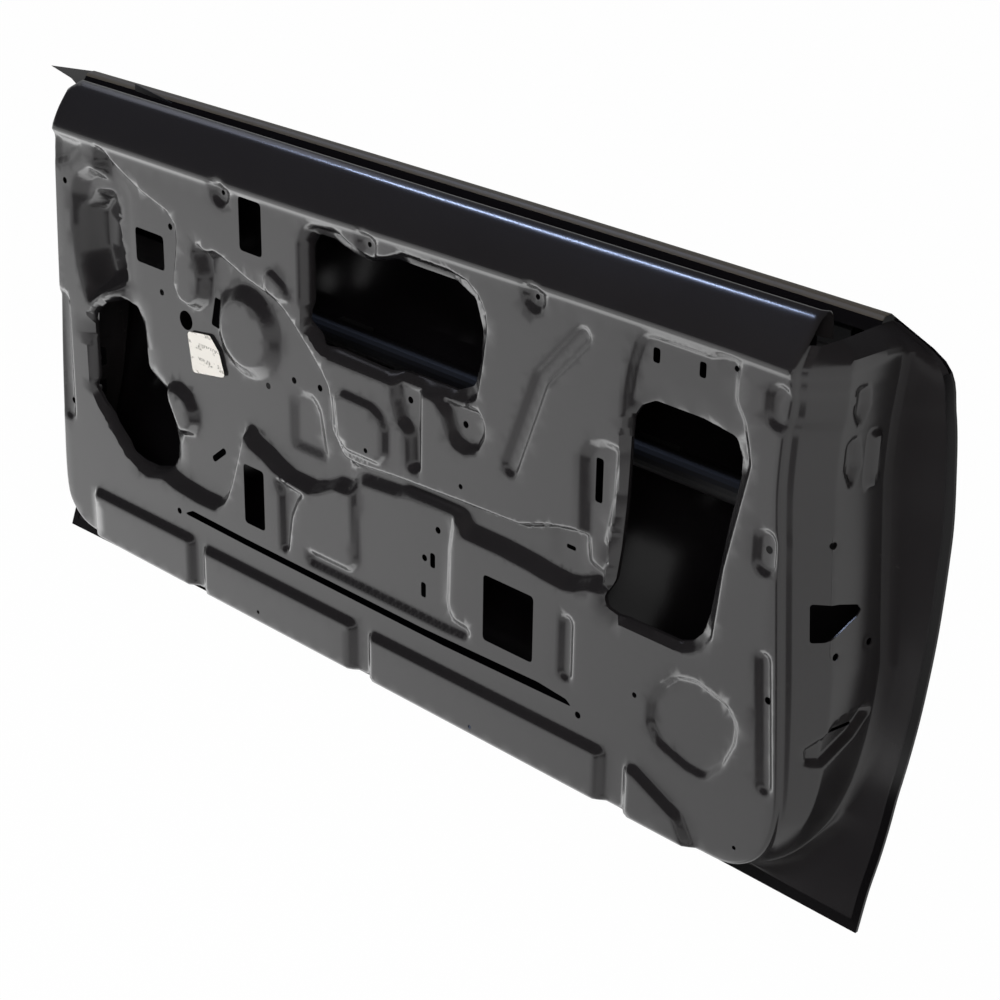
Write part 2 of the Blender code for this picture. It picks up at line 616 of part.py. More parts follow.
def wall_columns(bm):
    """Points of the return walls, from the face's edge to the hem, one column for each vertex of that edge."""
    chain = boundary_chain(bm, plan(stations_shares[0][0]), plan(stations_shares[-1][0]))
    places, angles, steps, shares = station_values(chain)
    outline = skin_outline()
    hem_offset = skin_depth - full_depth()
    full = full_depth()
    columns = []
    for i, vert in enumerate(chain):
        out = np.array([math.cos(angles[i]), math.sin(angles[i])])
        hem_edge = reach(places[i], out, outline) - hem_lip / 3
        hem_start = hem_edge - hem_lip
        local = (skin_y(*places[i]) - hem_offset) / full
        column = [vert.co.copy()]
        for k, (step, share) in enumerate(zip(steps[:, i], shares[:, i])):
            scale = local if share > hem_row_share else min(local / full_wall_share, 1)
            furthest = hem_start - hem_lip * row_spread_share * (len(steps) - k)
            place = places[i] + out * min(step * scale, furthest)
            depth = vert.co.y + share * (full * scale - vert.co.y)
            depth = min(depth, skin_y(*place) - hem_offset)
            column.append(Vector((place[0], depth, place[1])))
        for distance in (hem_start, hem_edge):
            place = places[i] + out * distance
            column.append(Vector((place[0], skin_y(*place) - hem_offset, place[1])))
        along = column[1] - column[0]
        column[0] += along.normalized() * (inner_sheet + 2 * fit_gap)
        columns.append(column)
    return places, columns


def make_return_walls(panel_bm):
    """Front, bottom and latch walls, each folded back to the hem, with a fitting gap where they meet."""
    places, columns = wall_columns(panel_bm)
    seams = [int(np.argmin(np.hypot(*(places - plan(share)).T))) for share in wall_seams_shares]
    walls = []
    for name, first, last in zip(wall_names, [0, *seams], [*seams, len(columns) - 1]):
        wall = [[point.copy() for point in column] for column in columns[first:last + 1]]
        for end, beside, inner_end in ((0, 1, first > 0), (-1, -2, last < len(columns) - 1)):
            if not inner_end:
                continue
            for point, other in zip(wall[end], wall[beside]):
                point += (other - point).normalized() * fit_gap
        bm = bmesh.new()
        strip(bm, [[bm.verts.new(point) for point in row] for row in zip(*wall)])
        bmesh.ops.recalc_face_normals(bm, faces=bm.faces)
        wall_obj = finish(f"inner_panel_{name}", bm, e_coat)
        thicken(wall_obj, inner_sheet)
        walls.append(wall_obj)
    return walls


def add_roll_flange(bm):
    """The flange behind the belt roll, which turns down into the window slot."""
    left, right = plan(roll_front_shares), plan(face_shares[-1])
    top = [v for v in bm.verts if any(len(e.link_faces) == 1 for e in v.link_edges)]
    slope = (right[1] - left[1]) / (right[0] - left[0])
    top = [v for v in top if abs(v.co.z - left[1] - slope * (v.co.x - left[0])) < weld_distance]
    top.sort(key=lambda v: v.co.x)
    rows = [top]
    for back, down in roll_flange_shares:
        turn = Vector((0, back * roll_thickness, -down * roll_flange))
        rows.append([bm.verts.new(v.co + turn) for v in top])
    strip(bm, rows)


def add_hole_flanges(bm, outlines):
    """The edges of the large openings, turned away from the cabin."""
    edges = []
    for edge in bm.edges:
        if len(edge.link_faces) != 1:
            continue
        middle = (edge.verts[0].co + edge.verts[1].co) / 2
        place = np.array([[middle.x, middle.z]])
        if any(abs(inside(place, outline)[0]) < weld_distance for outline in outlines):
            edges.append(edge)
    made = bmesh.ops.extrude_edge_only(bm, edges=edges)["geom"]
    for vert in made:
        if isinstance(vert, bmesh.types.BMVert):
            vert.co.y += hole_flange


def finish(name, bm, material, smooth=False):
    """A mesh object of this bmesh, in the part's collection."""
    mesh = bpy.data.meshes.new(name)
    bm.to_mesh(mesh)
    bm.free()
    obj = bpy.data.objects.new(name, mesh)
    parts.objects.link(obj)
    mesh.materials.append(material)
    if smooth:
        mesh.shade_smooth()
        mesh.set_sharp_from_angle(angle=math.radians(35))
    obj.parent = origin
    return obj


def thicken(obj, thickness, offset=0.0):
    solid = obj.modifiers.new("Sheet", "SOLIDIFY")
    solid.thickness = thickness
    solid.offset = offset
    return solid


def cutter(name, bm):
    """A hidden mesh that a Boolean takes away."""
    mesh = bpy.data.meshes.new(name)
    bmesh.ops.recalc_face_normals(bm, faces=bm.faces)
    bm.to_mesh(mesh)
    bm.free()
    obj = bpy.data.objects.new(name, mesh)
    cutters.objects.link(obj)
    obj.hide_render = True
    obj.display_type = "WIRE"
    obj.parent = origin
    return obj


def cut(obj, tool):
    boolean = obj.modifiers.new(tool.name, "BOOLEAN")
    boolean.operation = "DIFFERENCE"
    boolean.object = tool


def prism(bm, outline, start, along, matrix=Matrix()):
    """A closed prism of outline points (a, b) in the matrix's Y and Z, this long on its X from the start."""
    low = [bm.verts.new(matrix @ Vector((start, a, b))) for a, b in outline]
    high = [bm.verts.new(matrix @ Vector((start + along, a, b))) for a, b in outline]
    count = len(outline)
    bm.faces.new(low)
    bm.faces.new(high[::-1])
    for i in range(count):
        bm.faces.new((low[i], high[i], high[(i + 1) % count], low[(i + 1) % count]))
    bmesh.ops.recalc_face_normals(bm, faces=bm.faces)


def rectangle(width, height, centre=(0.0, 0.0)):
    a, b = width / 2, height / 2
    return [(centre[0] + i * a, centre[1] + j * b) for i, j in ((-1, -1), (1, -1), (1, 1), (-1, 1))]


def steel(name, colour, roughness, metallic=0.0):
    material = bpy.data.materials.new(name)
    material.use_nodes = True
    shader = material.node_tree.nodes["Principled BSDF"]
    shader.inputs["Base Color"].default_value = (*colour, 1)
    shader.inputs["Roughness"].default_value = roughness
    shader.inputs["Metallic"].default_value = metallic
    return material


def full_depth():
    """Depth of a full return wall, which stops at the adhesive on the skin."""
    return skin_depth - (skin_sheet + inner_sheet) / 2 - hem_adhesive


def wall_frame(v, depth_share):
    """Frame on the front wall: X out of the door towards its hinges, Z up the wall, at a height share."""
    top, low = plan(face_shares[2]), plan(face_shares[3])
    height = v * panel_height
    x = np.interp(height, [low[1], top[1]], [low[0], top[0]])
    step, share = front_folds_shares[2]
    back = Vector((-step * skin_depth, share * full_depth(), 0)).normalized()
    up = Vector((top[0] - low[0], 0, top[1] - low[1])).normalized()
    out = up.cross(back).normalized()
    side = up.cross(out)
    point = Vector((x, 0, height)) + back * (depth_share * skin_depth)
    frame = Matrix((out, side, up)).transposed().to_4x4()
    frame.translation = point
    return frame


def end_frame():
    """Frame on the latch wall at the opening's height: X out of the door, Y towards the skin, Z up."""
    low, high = plan(face_shares[20]), plan(face_shares[19])
    v = latch_hole_shares[0][1] * panel_height
    x = np.interp(v, [high[1], low[1]], [high[0], low[0]])
    crease, edge = rear_folds_shares[2:4]
    at_crease = Vector((x + crease[0] * skin_depth, crease[1] * full_depth(), v))
    at_edge = Vector((x + edge[0] * skin_depth, edge[1] * full_depth(), v))
    back = (at_edge - at_crease).normalized()
    up = Vector((low[0] - high[0], 0, low[1] - high[1])).normalized()
    out = back.cross(up).normalized()
    up = out.cross(back)
    frame = Matrix((out, back, up)).transposed().to_4x4()
    frame.translation = at_crease
    return frame


def make_inner_panel():
    forms = pressed_forms()
    flanged = flanged_holes()
    plain = plain_holes()
    outer = plan(face_shares + [roll_front_shares])
    heights = np.array(skin_knots()) * panel_height
    extra = [(np.interp(z, *sorted_edge(side)), z) for side in (0, 1) for z in heights]
    outer = with_points(outer, extra)
    crease = plan(crease_shares)
    lines = []
    for share, _ in shoulder_shares[:-1]:
        row = crease + (0, share * shoulder_rise)
        lines.append(split_long(row, longest_crease_edge, closed=False))
    loops = [split_long(loop) for form in forms for loop in (form.outline, form.floor)]
    loops += flanged + plain
    points, faces = triangulated(split_long(outer), loops, lines)
    centres = points[faces].mean(axis=1)
    keep = inside(centres, outer) > 0
    for hole in flanged + plain:
        keep &= inside(centres, hole) < 0
    depths = panel_depth(points, forms)
    bm = bmesh.new()
    verts = [bm.verts.new((x, depth, z)) for (x, z), depth in zip(points, depths)]
    for face in faces[keep]:
        bm.faces.new([verts[i] for i in face])
    bmesh.ops.delete(bm, geom=[v for v in bm.verts if not v.link_faces], context="VERTS")
    add_hole_flanges(bm, flanged)
    walls = make_return_walls(bm)
    add_roll_flange(bm)
    bmesh.ops.recalc_face_normals(bm, faces=bm.faces)
    panel = finish("inner_panel", bm, e_coat)
    thicken(panel, inner_sheet)
    return panel, walls


def skin_knots():
    return [row[0] for row in skin_rows_shares[3:-2]]


def sorted_edge(side):
    """Heights and places of the face's front or rear edge, rising, for interpolation."""
    edge = plan(face_shares[4:0:-1] if side == 0 else face_shares[16:25])
    return edge[:, 1], edge[:, 0]


def with_points(outline, extra):
    """The outline with these points put in on the edges that they lie on."""
    out = []
    for a, b in zip(outline, np.roll(outline, -1, 0)):
        edge = b - a
        out.append(a)
        on = [(np.dot(p - a, edge) / (edge @ edge), tuple(p)) for p in map(np.array, extra)]
        on = [(t, p) for t, p in on if 0 < t < 1 and np.hypot(*(a + t * edge - p)) < weld_distance]
        out += [np.array(p) for _, p in sorted(on)]
    return np.array(out)


def make_outer_skin():
    """The skin as rows from the hem up to the belt, with its edge folded over the inner panel's flange."""
    bm = bmesh.new()
    rows = []
    for v, _, front, rear in skin_rows_shares:
        row = [(front + (rear - front) * share, v) for share in skin_columns_shares]
        rows.append([bm.verts.new((x, skin_y(x, z), z)) for x, z in plan(row)])
    rows.append([bm.verts.new(along_belt(share)) for share in skin_columns_shares])
    strip(bm, rows)
    edge = [row[0] for row in rows[:0:-1]] + rows[0] + [row[-1] for row in rows[1:]]
    fold = skin_sheet + inner_sheet + 2 * hem_adhesive
    outline = np.array([(vert.co.x, vert.co.z) for vert in edge])
    below = outline[[-1, 0]] + (0, -panel_height / 3)
    lip = inset(np.vstack([outline, below]), hem_lip)
    turned = [bm.verts.new(vert.co - Vector((0, fold, 0))) for vert in edge]
    ends = []
    for vert, (x, z) in zip(turned, lip[:len(edge)]):
        ends.append(bm.verts.new((x, skin_y(x, z) - fold, z)))
    hemmed = slice(3, len(edge) - 2)
    strip(bm, [edge[hemmed], turned[hemmed], ends[hemmed]])
    top = rows[-1]
    over = [bm.verts.new(vert.co + Vector((0, -belt_fold, belt_rise))) for vert in top]
    down = [bm.verts.new(vert.co + Vector((0, -belt_fold, -belt_drop))) for vert in top]
    strip(bm, [top, over, down])
    bmesh.ops.delete(bm, geom=[v for v in bm.verts if not v.link_faces], context="VERTS")
    bmesh.ops.recalc_face_normals(bm, faces=bm.faces)
    skin = finish("outer_skin", bm, gloss_coat)
    thicken(skin, skin_sheet)
    return skin


def along_belt(share):
    """Place of the belt's edge at a share of its length, and the skin's depth there."""
    x, z = plan(np.array(belt_front_shares) + share * (np.array(belt_rear_shares) - belt_front_shares))
    return x, float(skin_y(x, z)), z


def profile_sheet(name, stations, thickness, material):
    """A folded strip: each station is a row of points across it."""
    bm = bmesh.new()
    rows = [[bm.verts.new(point) for point in station] for station in stations]
    strip(bm, rows)
    bmesh.ops.recalc_face_normals(bm, faces=bm.faces)
    obj = finish(name, bm, material)
    thicken(obj, thickness)
    return obj


def make_belt_reinforcements():
    """The outer strip under the belt fold, with its slots, and the strip behind the roll."""
    inner_face = belt_fold - (skin_sheet + reinforcement_sheet) / 2 - fit_gap
    stations = []
    for share in np.linspace(*outer_strip_shares, belt_stations):
        x, y, z = along_belt(share)
        low = z - belt_strip_height
        bend = low + belt_strip_bulge
        gap = (skin_sheet + reinforcement_sheet) / 2 + hem_adhesive
        feet = [float(skin_y(x, height)) - gap for height in (bend, low)]
        stations.append([
            (x, y - inner_face, z - fit_gap - reinforcement_sheet),
            (x, y - inner_face, z - belt_drop * strip_fold_shares[0]),
            (x, y - belt_strip_bulge, z - belt_drop * strip_fold_shares[1]),
            (x, y - belt_strip_bulge, low + belt_strip_bulge * 2),
            (x, feet[0], bend),
            (x, feet[1], low),
        ])
    strip_obj = profile_sheet("outer_belt_reinforcement", stations, reinforcement_sheet, gloss_coat)
    bm = bmesh.new()
    for share in belt_slots_shares:
        x, y, z = along_belt(share)
        middle = (y, z - belt_strip_height / 2)
        prism(bm, rectangle(belt_strip_bulge * 4, belt_slot_height, middle), x, belt_slot_length)
    cut(strip_obj, cutter("belt_slots_cutter", bm))

    left, right = plan(roll_front_shares), plan(face_shares[-1])
    stations = []
    for share in np.linspace(*inner_strip_shares, belt_stations):
        x, z = left + share * (right - left)
        y = shoulder_reach + roll_thickness + (inner_sheet + reinforcement_sheet) / 2 + fit_gap
        top = z - roll_flange * roll_strip_top_share
        low = top - roll_strip_height
        stations.append([(x, y, top), (x, y, low + roll_strip_return / 2), (x, y + roll_strip_return, low)])
    profile_sheet("inner_belt_reinforcement", stations, reinforcement_sheet, e_coat)


def beam_line(share):
    """A point on the beam's axis, which keeps the mastic's gap to the skin."""
    x = (beam_front_share + share * (beam_rear_share - beam_front_share)) * panel_length
    z = beam_height_share * panel_height
    ends = [beam_front_share * panel_length, beam_rear_share * panel_length]
    depths = [float(skin_y(end, z)) for end in ends]
    y = min(depths) - skin_sheet / 2 - mastic_gap - beam_radius
    return Vector((x, y, z))


def make_beam():
    start, end = beam_line(0), beam_line(1)
    profile = ring(np.zeros(2), beam_radius - beam_wall / 2, 20)
    bm = bmesh.new()
    rows = [[bm.verts.new((x, start.y + a, start.z + b)) for a, b in profile] for x in (start.x, end.x)]
    for row in rows:
        row.append(row[0])
    strip(bm, rows)
    bmesh.ops.recalc_face_normals(bm, faces=bm.faces)
    beam = finish("intrusion_beam", bm, bare_steel, smooth=True)
    thicken(beam, beam_wall)
    for i, share in enumerate(mastic_shares, 1):
        x = share * panel_length
        y = start.y + beam_radius + fit_gap
        depth = float(min(skin_y(x, start.z + beam_radius), skin_y(x, start.z - beam_radius)))
        depth -= skin_sheet / 2 + fit_gap
        bm = bmesh.new()
        section = rectangle(depth - y, beam_radius, ((y + depth) / 2, start.z))
        prism(bm, section, x - mastic_length / 2, mastic_length)
        finish(f"beam_mastic_{i}", bm, mastic)


def make_beam_brackets():
    """Pressed brackets: a flange on the end wall, and a tongue that carries the beam on its cabin side."""
    start, end = beam_line(0), beam_line(1)
    y = start.y - beam_radius - fit_gap - reinforcement_sheet / 2
    tall, low = start.z + bracket_height / 2, start.z - bracket_height / 2
    inside_wall = -(inner_sheet + reinforcement_sheet) / 2 - fit_gap
    stations = []
    for z in (low, start.z, tall):
        frame = wall_frame(z / panel_height, 0)
        out, back = frame.col[0].xyz, -frame.col[1].xyz
        foot = frame.translation + out * inside_wall
        corner = foot + back * ((y - foot.y) / back.y)
        flange = corner + back * bracket_flange
        stations.append([flange, corner, Vector((beam_line(0).x + bracket_length, y, z))])
    profile_sheet("beam_front_bracket", stations, reinforcement_sheet, e_coat)
    frame = end_frame()
    out, back = frame.col[0].xyz, frame.col[1].xyz
    inside_wall -= reinforcement_sheet + fit_gap
    stations = []
    for z in (low, start.z, tall):
        rise = z - frame.translation.z
        foot = frame.translation + frame.col[2].xyz * (rise / frame.col[2].z) + out * inside_wall
        corner = foot + back * ((y - foot.y) / back.y)
        flange = corner - back * bracket_flange
        stations.append([flange, corner, Vector((end.x - bracket_length, y, z))])
    profile_sheet("beam_rear_bracket", stations, reinforcement_sheet, e_coat)


def plate(name, frame, width, height, thickness, depth, material, holes=()):
    """A flat plate with holes in the frame's YZ plane, its outer face this far inside the origin."""
    outer = rounded(rectangle(width, height), hole_radius, 2)
    points, faces = triangulated(outer, [np.array(hole) for hole in holes], [])
    centres = points[faces].mean(axis=1)
    keep = inside(centres, outer) > 0
    for hole in holes:
        keep &= inside(centres, np.array(hole)) < 0
    bm = bmesh.new()
    verts = [bm.verts.new(frame @ Vector((-depth - thickness / 2, a, b))) for a, b in points]
    for face in faces[keep]:
        bm.faces.new([verts[i] for i in face])
    bmesh.ops.recalc_face_normals(bm, faces=bm.faces)
    obj = finish(name, bm, material)
    thicken(obj, thickness)
    return obj


def hinge_holes(pitch):
    return [ring(np.array([0, side * pitch / 2]), hinge_bolt_hole, 12) for side in (-1, 1)]


def make_hinge_parts():
    """Reinforcement, floating nut plate and cage behind each hinge face, and the check arm's plate."""
    behind = inner_sheet / 2 + fit_gap
    for name, share in (("upper", upper_hinge_share), ("lower", lower_hinge_share)):
        frame = wall_frame(share, hinge_depth_share)
        holes = hinge_holes(hinge_bolt_pitch)
        plate(f"{name}_hinge_reinforcement", frame, hinge_plate_width, hinge_plate_height,
              reinforcement_sheet, behind, e_coat, holes)
        depth = behind + reinforcement_sheet + fit_gap
        plate(f"{name}_hinge_nut_plate", frame, nut_plate_width, nut_plate_height,
              nut_plate_thickness, depth, bare_steel, holes)
        make_cage(f"{name}_hinge_nut_cage", frame, depth)
    frame = wall_frame(check_arm_share, hinge_depth_share)
    places = [np.array([0, side * hinge_bolt_pitch / 2]) for side in (-1, 1)]
    holes = [ring(place, screw_hole, 2 * hole_sides) for place in places]
    holes.append(np.array(rectangle(check_hole_width, check_hole_height)))
    plate("check_arm_reinforcement", frame, hinge_plate_width, check_plate_height,
          reinforcement_sheet, behind, e_coat, holes)


def make_cage(name, frame, depth):
    """A hat-shaped cage that holds the nut plate loosely against its reinforcement."""
    half = nut_plate_width / 2 + cage_clearance + cage_sheet / 2
    foot = depth + cage_sheet / 2
    top = depth + nut_plate_thickness + fit_gap + cage_sheet / 2
    wing = half + (hinge_plate_width / 2 - half) * cage_wing_share
    section = [(-wing, foot), (-half, foot), (-half, top), (half, top), (half, foot), (wing, foot)]
    length = nut_plate_height * cage_length_share
    ends = (-length / 2, length / 2)
    stations = [[frame @ Vector((-back, side, z)) for side, back in section] for z in ends]
    profile_sheet(name, stations, cage_sheet, e_coat)


def latch_outline():
    """The latch opening as depths and heights on the end wall."""
    return np.array(latch_hole_shares) * (skin_depth, panel_height)


def make_latch_plate(opening):
    """The plate behind the latch wall, with the wall's own opening and screw holes."""
    frame = end_frame()
    behind = inner_sheet / 2 + fit_gap
    from_crease = (latch_plate_width + hole_radius) / 2
    frame.translation = frame @ Vector((0, from_crease, latch_plate_rise))
    latch_plate = plate("latch_reinforcement", frame, latch_plate_width, latch_plate_height,
                        reinforcement_sheet, behind, e_coat)
    cut(latch_plate, opening)


def make_gusset():
    """The pressed corner that joins the roll and the belt strip at the front end, where the mirror sits."""
    y = along_belt(gusset_belt_share)[1]
    left = plan(roll_front_shares)
    near = shoulder_reach + roll_thickness + (inner_sheet + reinforcement_sheet) / 2 + fit_gap
    far = y - belt_strip_bulge - reinforcement_sheet - fit_gap
    low = left[1] - roll_flange - gusset_height
    stations = []
    for share, top_share in enumerate(gusset_top_shares):
        place = left[0] + gusset_length * (gusset_front_share + share)
        high = left[1] - roll_flange * top_share
        stations.append([(place, near, high), (place, near, low), (place, far, low), (place, far, high)])
    profile_sheet("mirror_corner_gusset", stations, reinforcement_sheet, e_coat)


def make_weld_nuts(forms):
    """Hexagon weld nuts on the hidden side of the trim screw holes."""
    for i, centre in enumerate(nut_holes_shares, 1):
        x, z = plan(centre)
        depth = float(panel_depth(np.array([[x, z]]), forms)[0]) + inner_sheet / 2 + fit_gap
        outer = ring(np.array([x, z]), nut_flats / math.sqrt(3), 6)
        hole = ring(np.array([x, z]), small_hole, 2 * hole_sides)
        points, faces = triangulated(outer, [hole], [])
        keep = inside(points[faces].mean(axis=1), hole) < 0
        bm = bmesh.new()
        verts = [bm.verts.new((px, depth + nut_height / 2, pz)) for px, pz in points]
        for face in faces[keep]:
            bm.faces.new([verts[j] for j in face])
        bmesh.ops.recalc_face_normals(bm, faces=bm.faces)
        nut = finish(f"weld_nut_{i}", bm, bare_steel)
        thicken(nut, nut_height)


def make_label():
    """A sheet of paper on the floor of the regulator recess."""
    outline = rounded(plan(label_shares), hole_radius, 3)
    depth = regulator_depth - inner_sheet / 2 - fit_gap - label_thickness / 2
    bm = bmesh.new()
    bm.faces.new([bm.verts.new((x, depth, z)) for x, z in outline])
    bmesh.ops.triangulate(bm, faces=bm.faces)
    label = finish("paper_label", bm, paper)
    thicken(label, label_thickness)


def cut_panel_holes(panel, front_wall, latch_wall):
    """Bolt and latch holes in the end walls, and the hole in the roll; gives back the latch cutter."""
    bm = bmesh.new()
    for share in (upper_hinge_share, lower_hinge_share):
        frame = wall_frame(share, hinge_depth_share)
        for hole in hinge_holes(hinge_bolt_pitch):
            prism(bm, hole, -overrun / 2, overrun, frame)
    frame = wall_frame(check_arm_share, hinge_depth_share)
    prism(bm, rectangle(check_hole_width, check_hole_height), -overrun / 2, overrun, frame)
    for side in (-1, 1):
        bolt = ring(np.array([0, side * hinge_bolt_pitch / 2]), screw_hole, 2 * hole_sides)
        prism(bm, bolt, -overrun / 2, overrun, frame)
    cut(front_wall, cutter("front_wall_cutter", bm))

    frame = end_frame()
    bm = bmesh.new()
    start = plan(face_shares[20])[0] + rear_folds_shares[1][0] * skin_depth
    prism(bm, latch_outline(), start, rear_folds_shares[3][0] * skin_depth + overrun)
    for a, b in np.array(latch_screws_shares) * (skin_depth, panel_height):
        prism(bm, ring(np.array([a, b]), screw_hole, 8), frame.translation.x - overrun / 2, screw_overrun)
    opening = cutter("latch_cutter", bm)
    cut(latch_wall, opening)

    left, right = plan(roll_front_shares), plan(face_shares[-1])
    x, z = left + roll_hole_share * (right - left)
    bm = bmesh.new()
    turn = Matrix.Translation((x, shoulder_reach + roll_thickness / 3, z))
    turn = turn @ Matrix.Rotation(math.radians(90), 4, "Y")
    prism(bm, ring(np.zeros(2), screw_hole, 10), -overrun / 3, overrun * 2 / 3, turn)
    cut(panel, cutter("roll_hole_cutter", bm))
    return opening


for leftover in list(bpy.data.objects):
    bpy.data.objects.remove(leftover)

parts = bpy.data.collections.new("car_door_shell")
cutters = bpy.data.collections.new("cutters")
for collection in (parts, cutters):
    bpy.context.scene.collection.children.link(collection)

e_coat = steel("Dark grey e-coat", (0.075, 0.072, 0.078), 0.42)
gloss_coat = steel("Black e-coat", (0.012, 0.011, 0.013), 0.28)
bare_steel = steel("Coated steel", (0.10, 0.10, 0.105), 0.45, 0.3)
mastic = steel("Grey mastic", (0.16, 0.155, 0.15), 0.8)
paper = steel("Label paper", (0.62, 0.62, 0.58), 0.75)

hinge = wall_frame(upper_hinge_share, hinge_depth_share)
face_point = hinge @ Vector((inner_sheet / 2, 0, 0))
origin = bpy.data.objects.new("upper_hinge_face", None)
origin.location = -face_point
parts.objects.link(origin)

panel_obj, wall_objs = make_inner_panel()
latch_opening = cut_panel_holes(panel_obj, wall_objs[0], wall_objs[2])
make_outer_skin()
make_belt_reinforcements()
make_beam()
make_beam_brackets()
make_hinge_parts()
make_latch_plate(latch_opening)
make_gusset()
make_weld_nuts(pressed_forms())
make_label()
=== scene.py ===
"""Door shell of a two-door coupe, dressed for rendering: pressed panel, skin, finishes and stage."""

import json
import math

import bmesh
import bpy
import numpy as np
from bpy.props import FloatProperty, IntProperty, PointerProperty, StringProperty
from mathutils import Matrix, Vector
from mathutils.geometry import delaunay_2d_cdt


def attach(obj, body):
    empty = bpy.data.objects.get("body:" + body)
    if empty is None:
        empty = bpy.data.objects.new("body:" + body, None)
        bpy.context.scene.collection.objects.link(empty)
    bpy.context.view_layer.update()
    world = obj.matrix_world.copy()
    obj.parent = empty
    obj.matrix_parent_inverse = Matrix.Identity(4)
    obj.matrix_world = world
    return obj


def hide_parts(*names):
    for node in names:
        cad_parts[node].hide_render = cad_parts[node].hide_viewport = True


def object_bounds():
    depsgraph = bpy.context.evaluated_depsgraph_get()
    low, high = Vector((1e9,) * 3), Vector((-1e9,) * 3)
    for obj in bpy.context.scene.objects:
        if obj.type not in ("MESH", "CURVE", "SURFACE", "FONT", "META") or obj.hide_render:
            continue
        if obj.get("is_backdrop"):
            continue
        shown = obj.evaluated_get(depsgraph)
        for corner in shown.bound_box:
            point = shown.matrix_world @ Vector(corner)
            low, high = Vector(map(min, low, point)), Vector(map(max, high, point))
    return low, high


bl_info = {
    "name": "Car Door Shell",
    "version": (1, 0, 0),
    "blender": (4, 5, 0),
    "location": "View3D > Sidebar > Door Shell",
    "description": "Builds the pressed panels, belt strips and label of a bare car door shell",
    "category": "Object",
}

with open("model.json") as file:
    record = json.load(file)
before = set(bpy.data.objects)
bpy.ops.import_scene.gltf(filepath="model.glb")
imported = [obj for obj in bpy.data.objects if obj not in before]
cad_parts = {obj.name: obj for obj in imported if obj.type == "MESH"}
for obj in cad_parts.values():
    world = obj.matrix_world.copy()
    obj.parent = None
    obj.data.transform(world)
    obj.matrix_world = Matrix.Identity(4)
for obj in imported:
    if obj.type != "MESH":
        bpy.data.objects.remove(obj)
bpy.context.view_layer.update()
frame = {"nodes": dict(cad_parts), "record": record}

# The door's own coordinates: X rearwards, Y from the cabin to the skin, Z up. The record's origin is the
# upper hinge face, whose place in the door's coordinates is this one.
hinge_face = Vector((-0.03763, 0.056816, 0.424334))

# Driving sizes of the shell, in metres
panel_length = 1.1625
panel_height = 0.58125
skin_depth = 0.1358
skin_bow = 0.0075
inner_sheet = 0.0009
skin_sheet = 0.0009
hem_adhesive = 0.0008
hem_lip = 0.009

# Depths of the pressed forms, away from the cabin
regulator_depth = 0.017
channel_depth = 0.016
rim_depth = 0.0145
pocket_depth = 0.042
recess_depth = 0.007
pillow_depth = 0.006
pillow_wall = 0.0085
boss_depth = 0.006
bead_depth = 0.005
pad_height = 0.009
pad_wall = 0.009
disc_height = 0.012
lobe_depth = 0.011
plate_depth = regulator_depth + inner_sheet
square_depth = channel_depth + inner_sheet

# Widths of their walls in plan, and radii of their corners
steep_wall = 0.007
rim_wall = 0.008
lobe_wall = 0.009
soft_wall = 0.011
channel_wall = 0.013
disc_wall = 0.019
wide_wall = 0.016
bead_wall = 0.0055
large_radius = 0.022
form_radius = 0.011
hole_radius = 0.006
slot_radius = 0.0035

# Belt roll along the top of the inner panel
shoulder_lip = 0.0044
shoulder_reach = 0.041
roll_flange = 0.030
roll_thickness = 0.010

# Round holes and bosses
screw_hole = 0.0042
small_hole = 0.0032
pin_hole = 0.0025
plug_hole = 0.0126
boss_radius = 0.0178
hole_flange = 0.0045
disc_radius = 0.060

# Sides of the polygons that stand for round forms and holes
disc_sides = 48
boss_sides = 36
plug_sides = 28
bolt_sides = 20
latch_screw_sides = 18
hole_sides = 16
pin_sides = 12

# Half widths of the narrow beads and notches
long_bead = 0.0130
slanted_bead = 0.0125
rear_bead = 0.0105
short_bead = 0.0110
upper_notch = 0.0165
lower_notch = 0.0150

belt_fold = 0.012
belt_rise = 0.0012
belt_drop = 0.0145

# Face of the inner panel: from the front end of the crease down, round and up to the rear end of the roll
face_shares = [
    (-0.0215, 1.050), (-0.0190, 0.981), (-0.0240, 0.896), (-0.0400, 0.240), (-0.0420, 0.139),
    (-0.0395, 0.083), (-0.0310, 0.055), (-0.0160, 0.030), (0.0000, 0.020), (0.0300, 0.0155),
    (0.5000, 0.013), (0.9300, 0.008), (0.9620, 0.010), (0.9840, 0.033), (0.9980, 0.064), (1.0060, 0.100),
    (1.0105, 0.139), (1.0120, 0.184), (1.0080, 0.300), (1.0025, 0.440), (0.9910, 0.730), (0.9890, 0.800),
    (0.9920, 0.912), (0.9980, 1.003), (1.0000, 1.040), (0.9980, 1.086),
]
roll_front_shares = (-0.012, 1.066)
crease_shares = [(-0.03, 0.979), (0.29, 0.985), (0.40, 0.988), (0.60, 0.998), (0.93, 1.005), (1.01, 1.003)]

# Section of the shoulder above the crease: share of its rise, share of its reach (below zero: the lip)
shoulder_shares = [
    (-0.22, 0.0), (-0.06, -0.15), (0.04, -0.08), (0.20, 0.04), (0.42, 0.21), (0.62, 0.41), (0.82, 0.63),
    (0.88, 0.70), (0.97, 0.88), (1.0, 1.0),
]

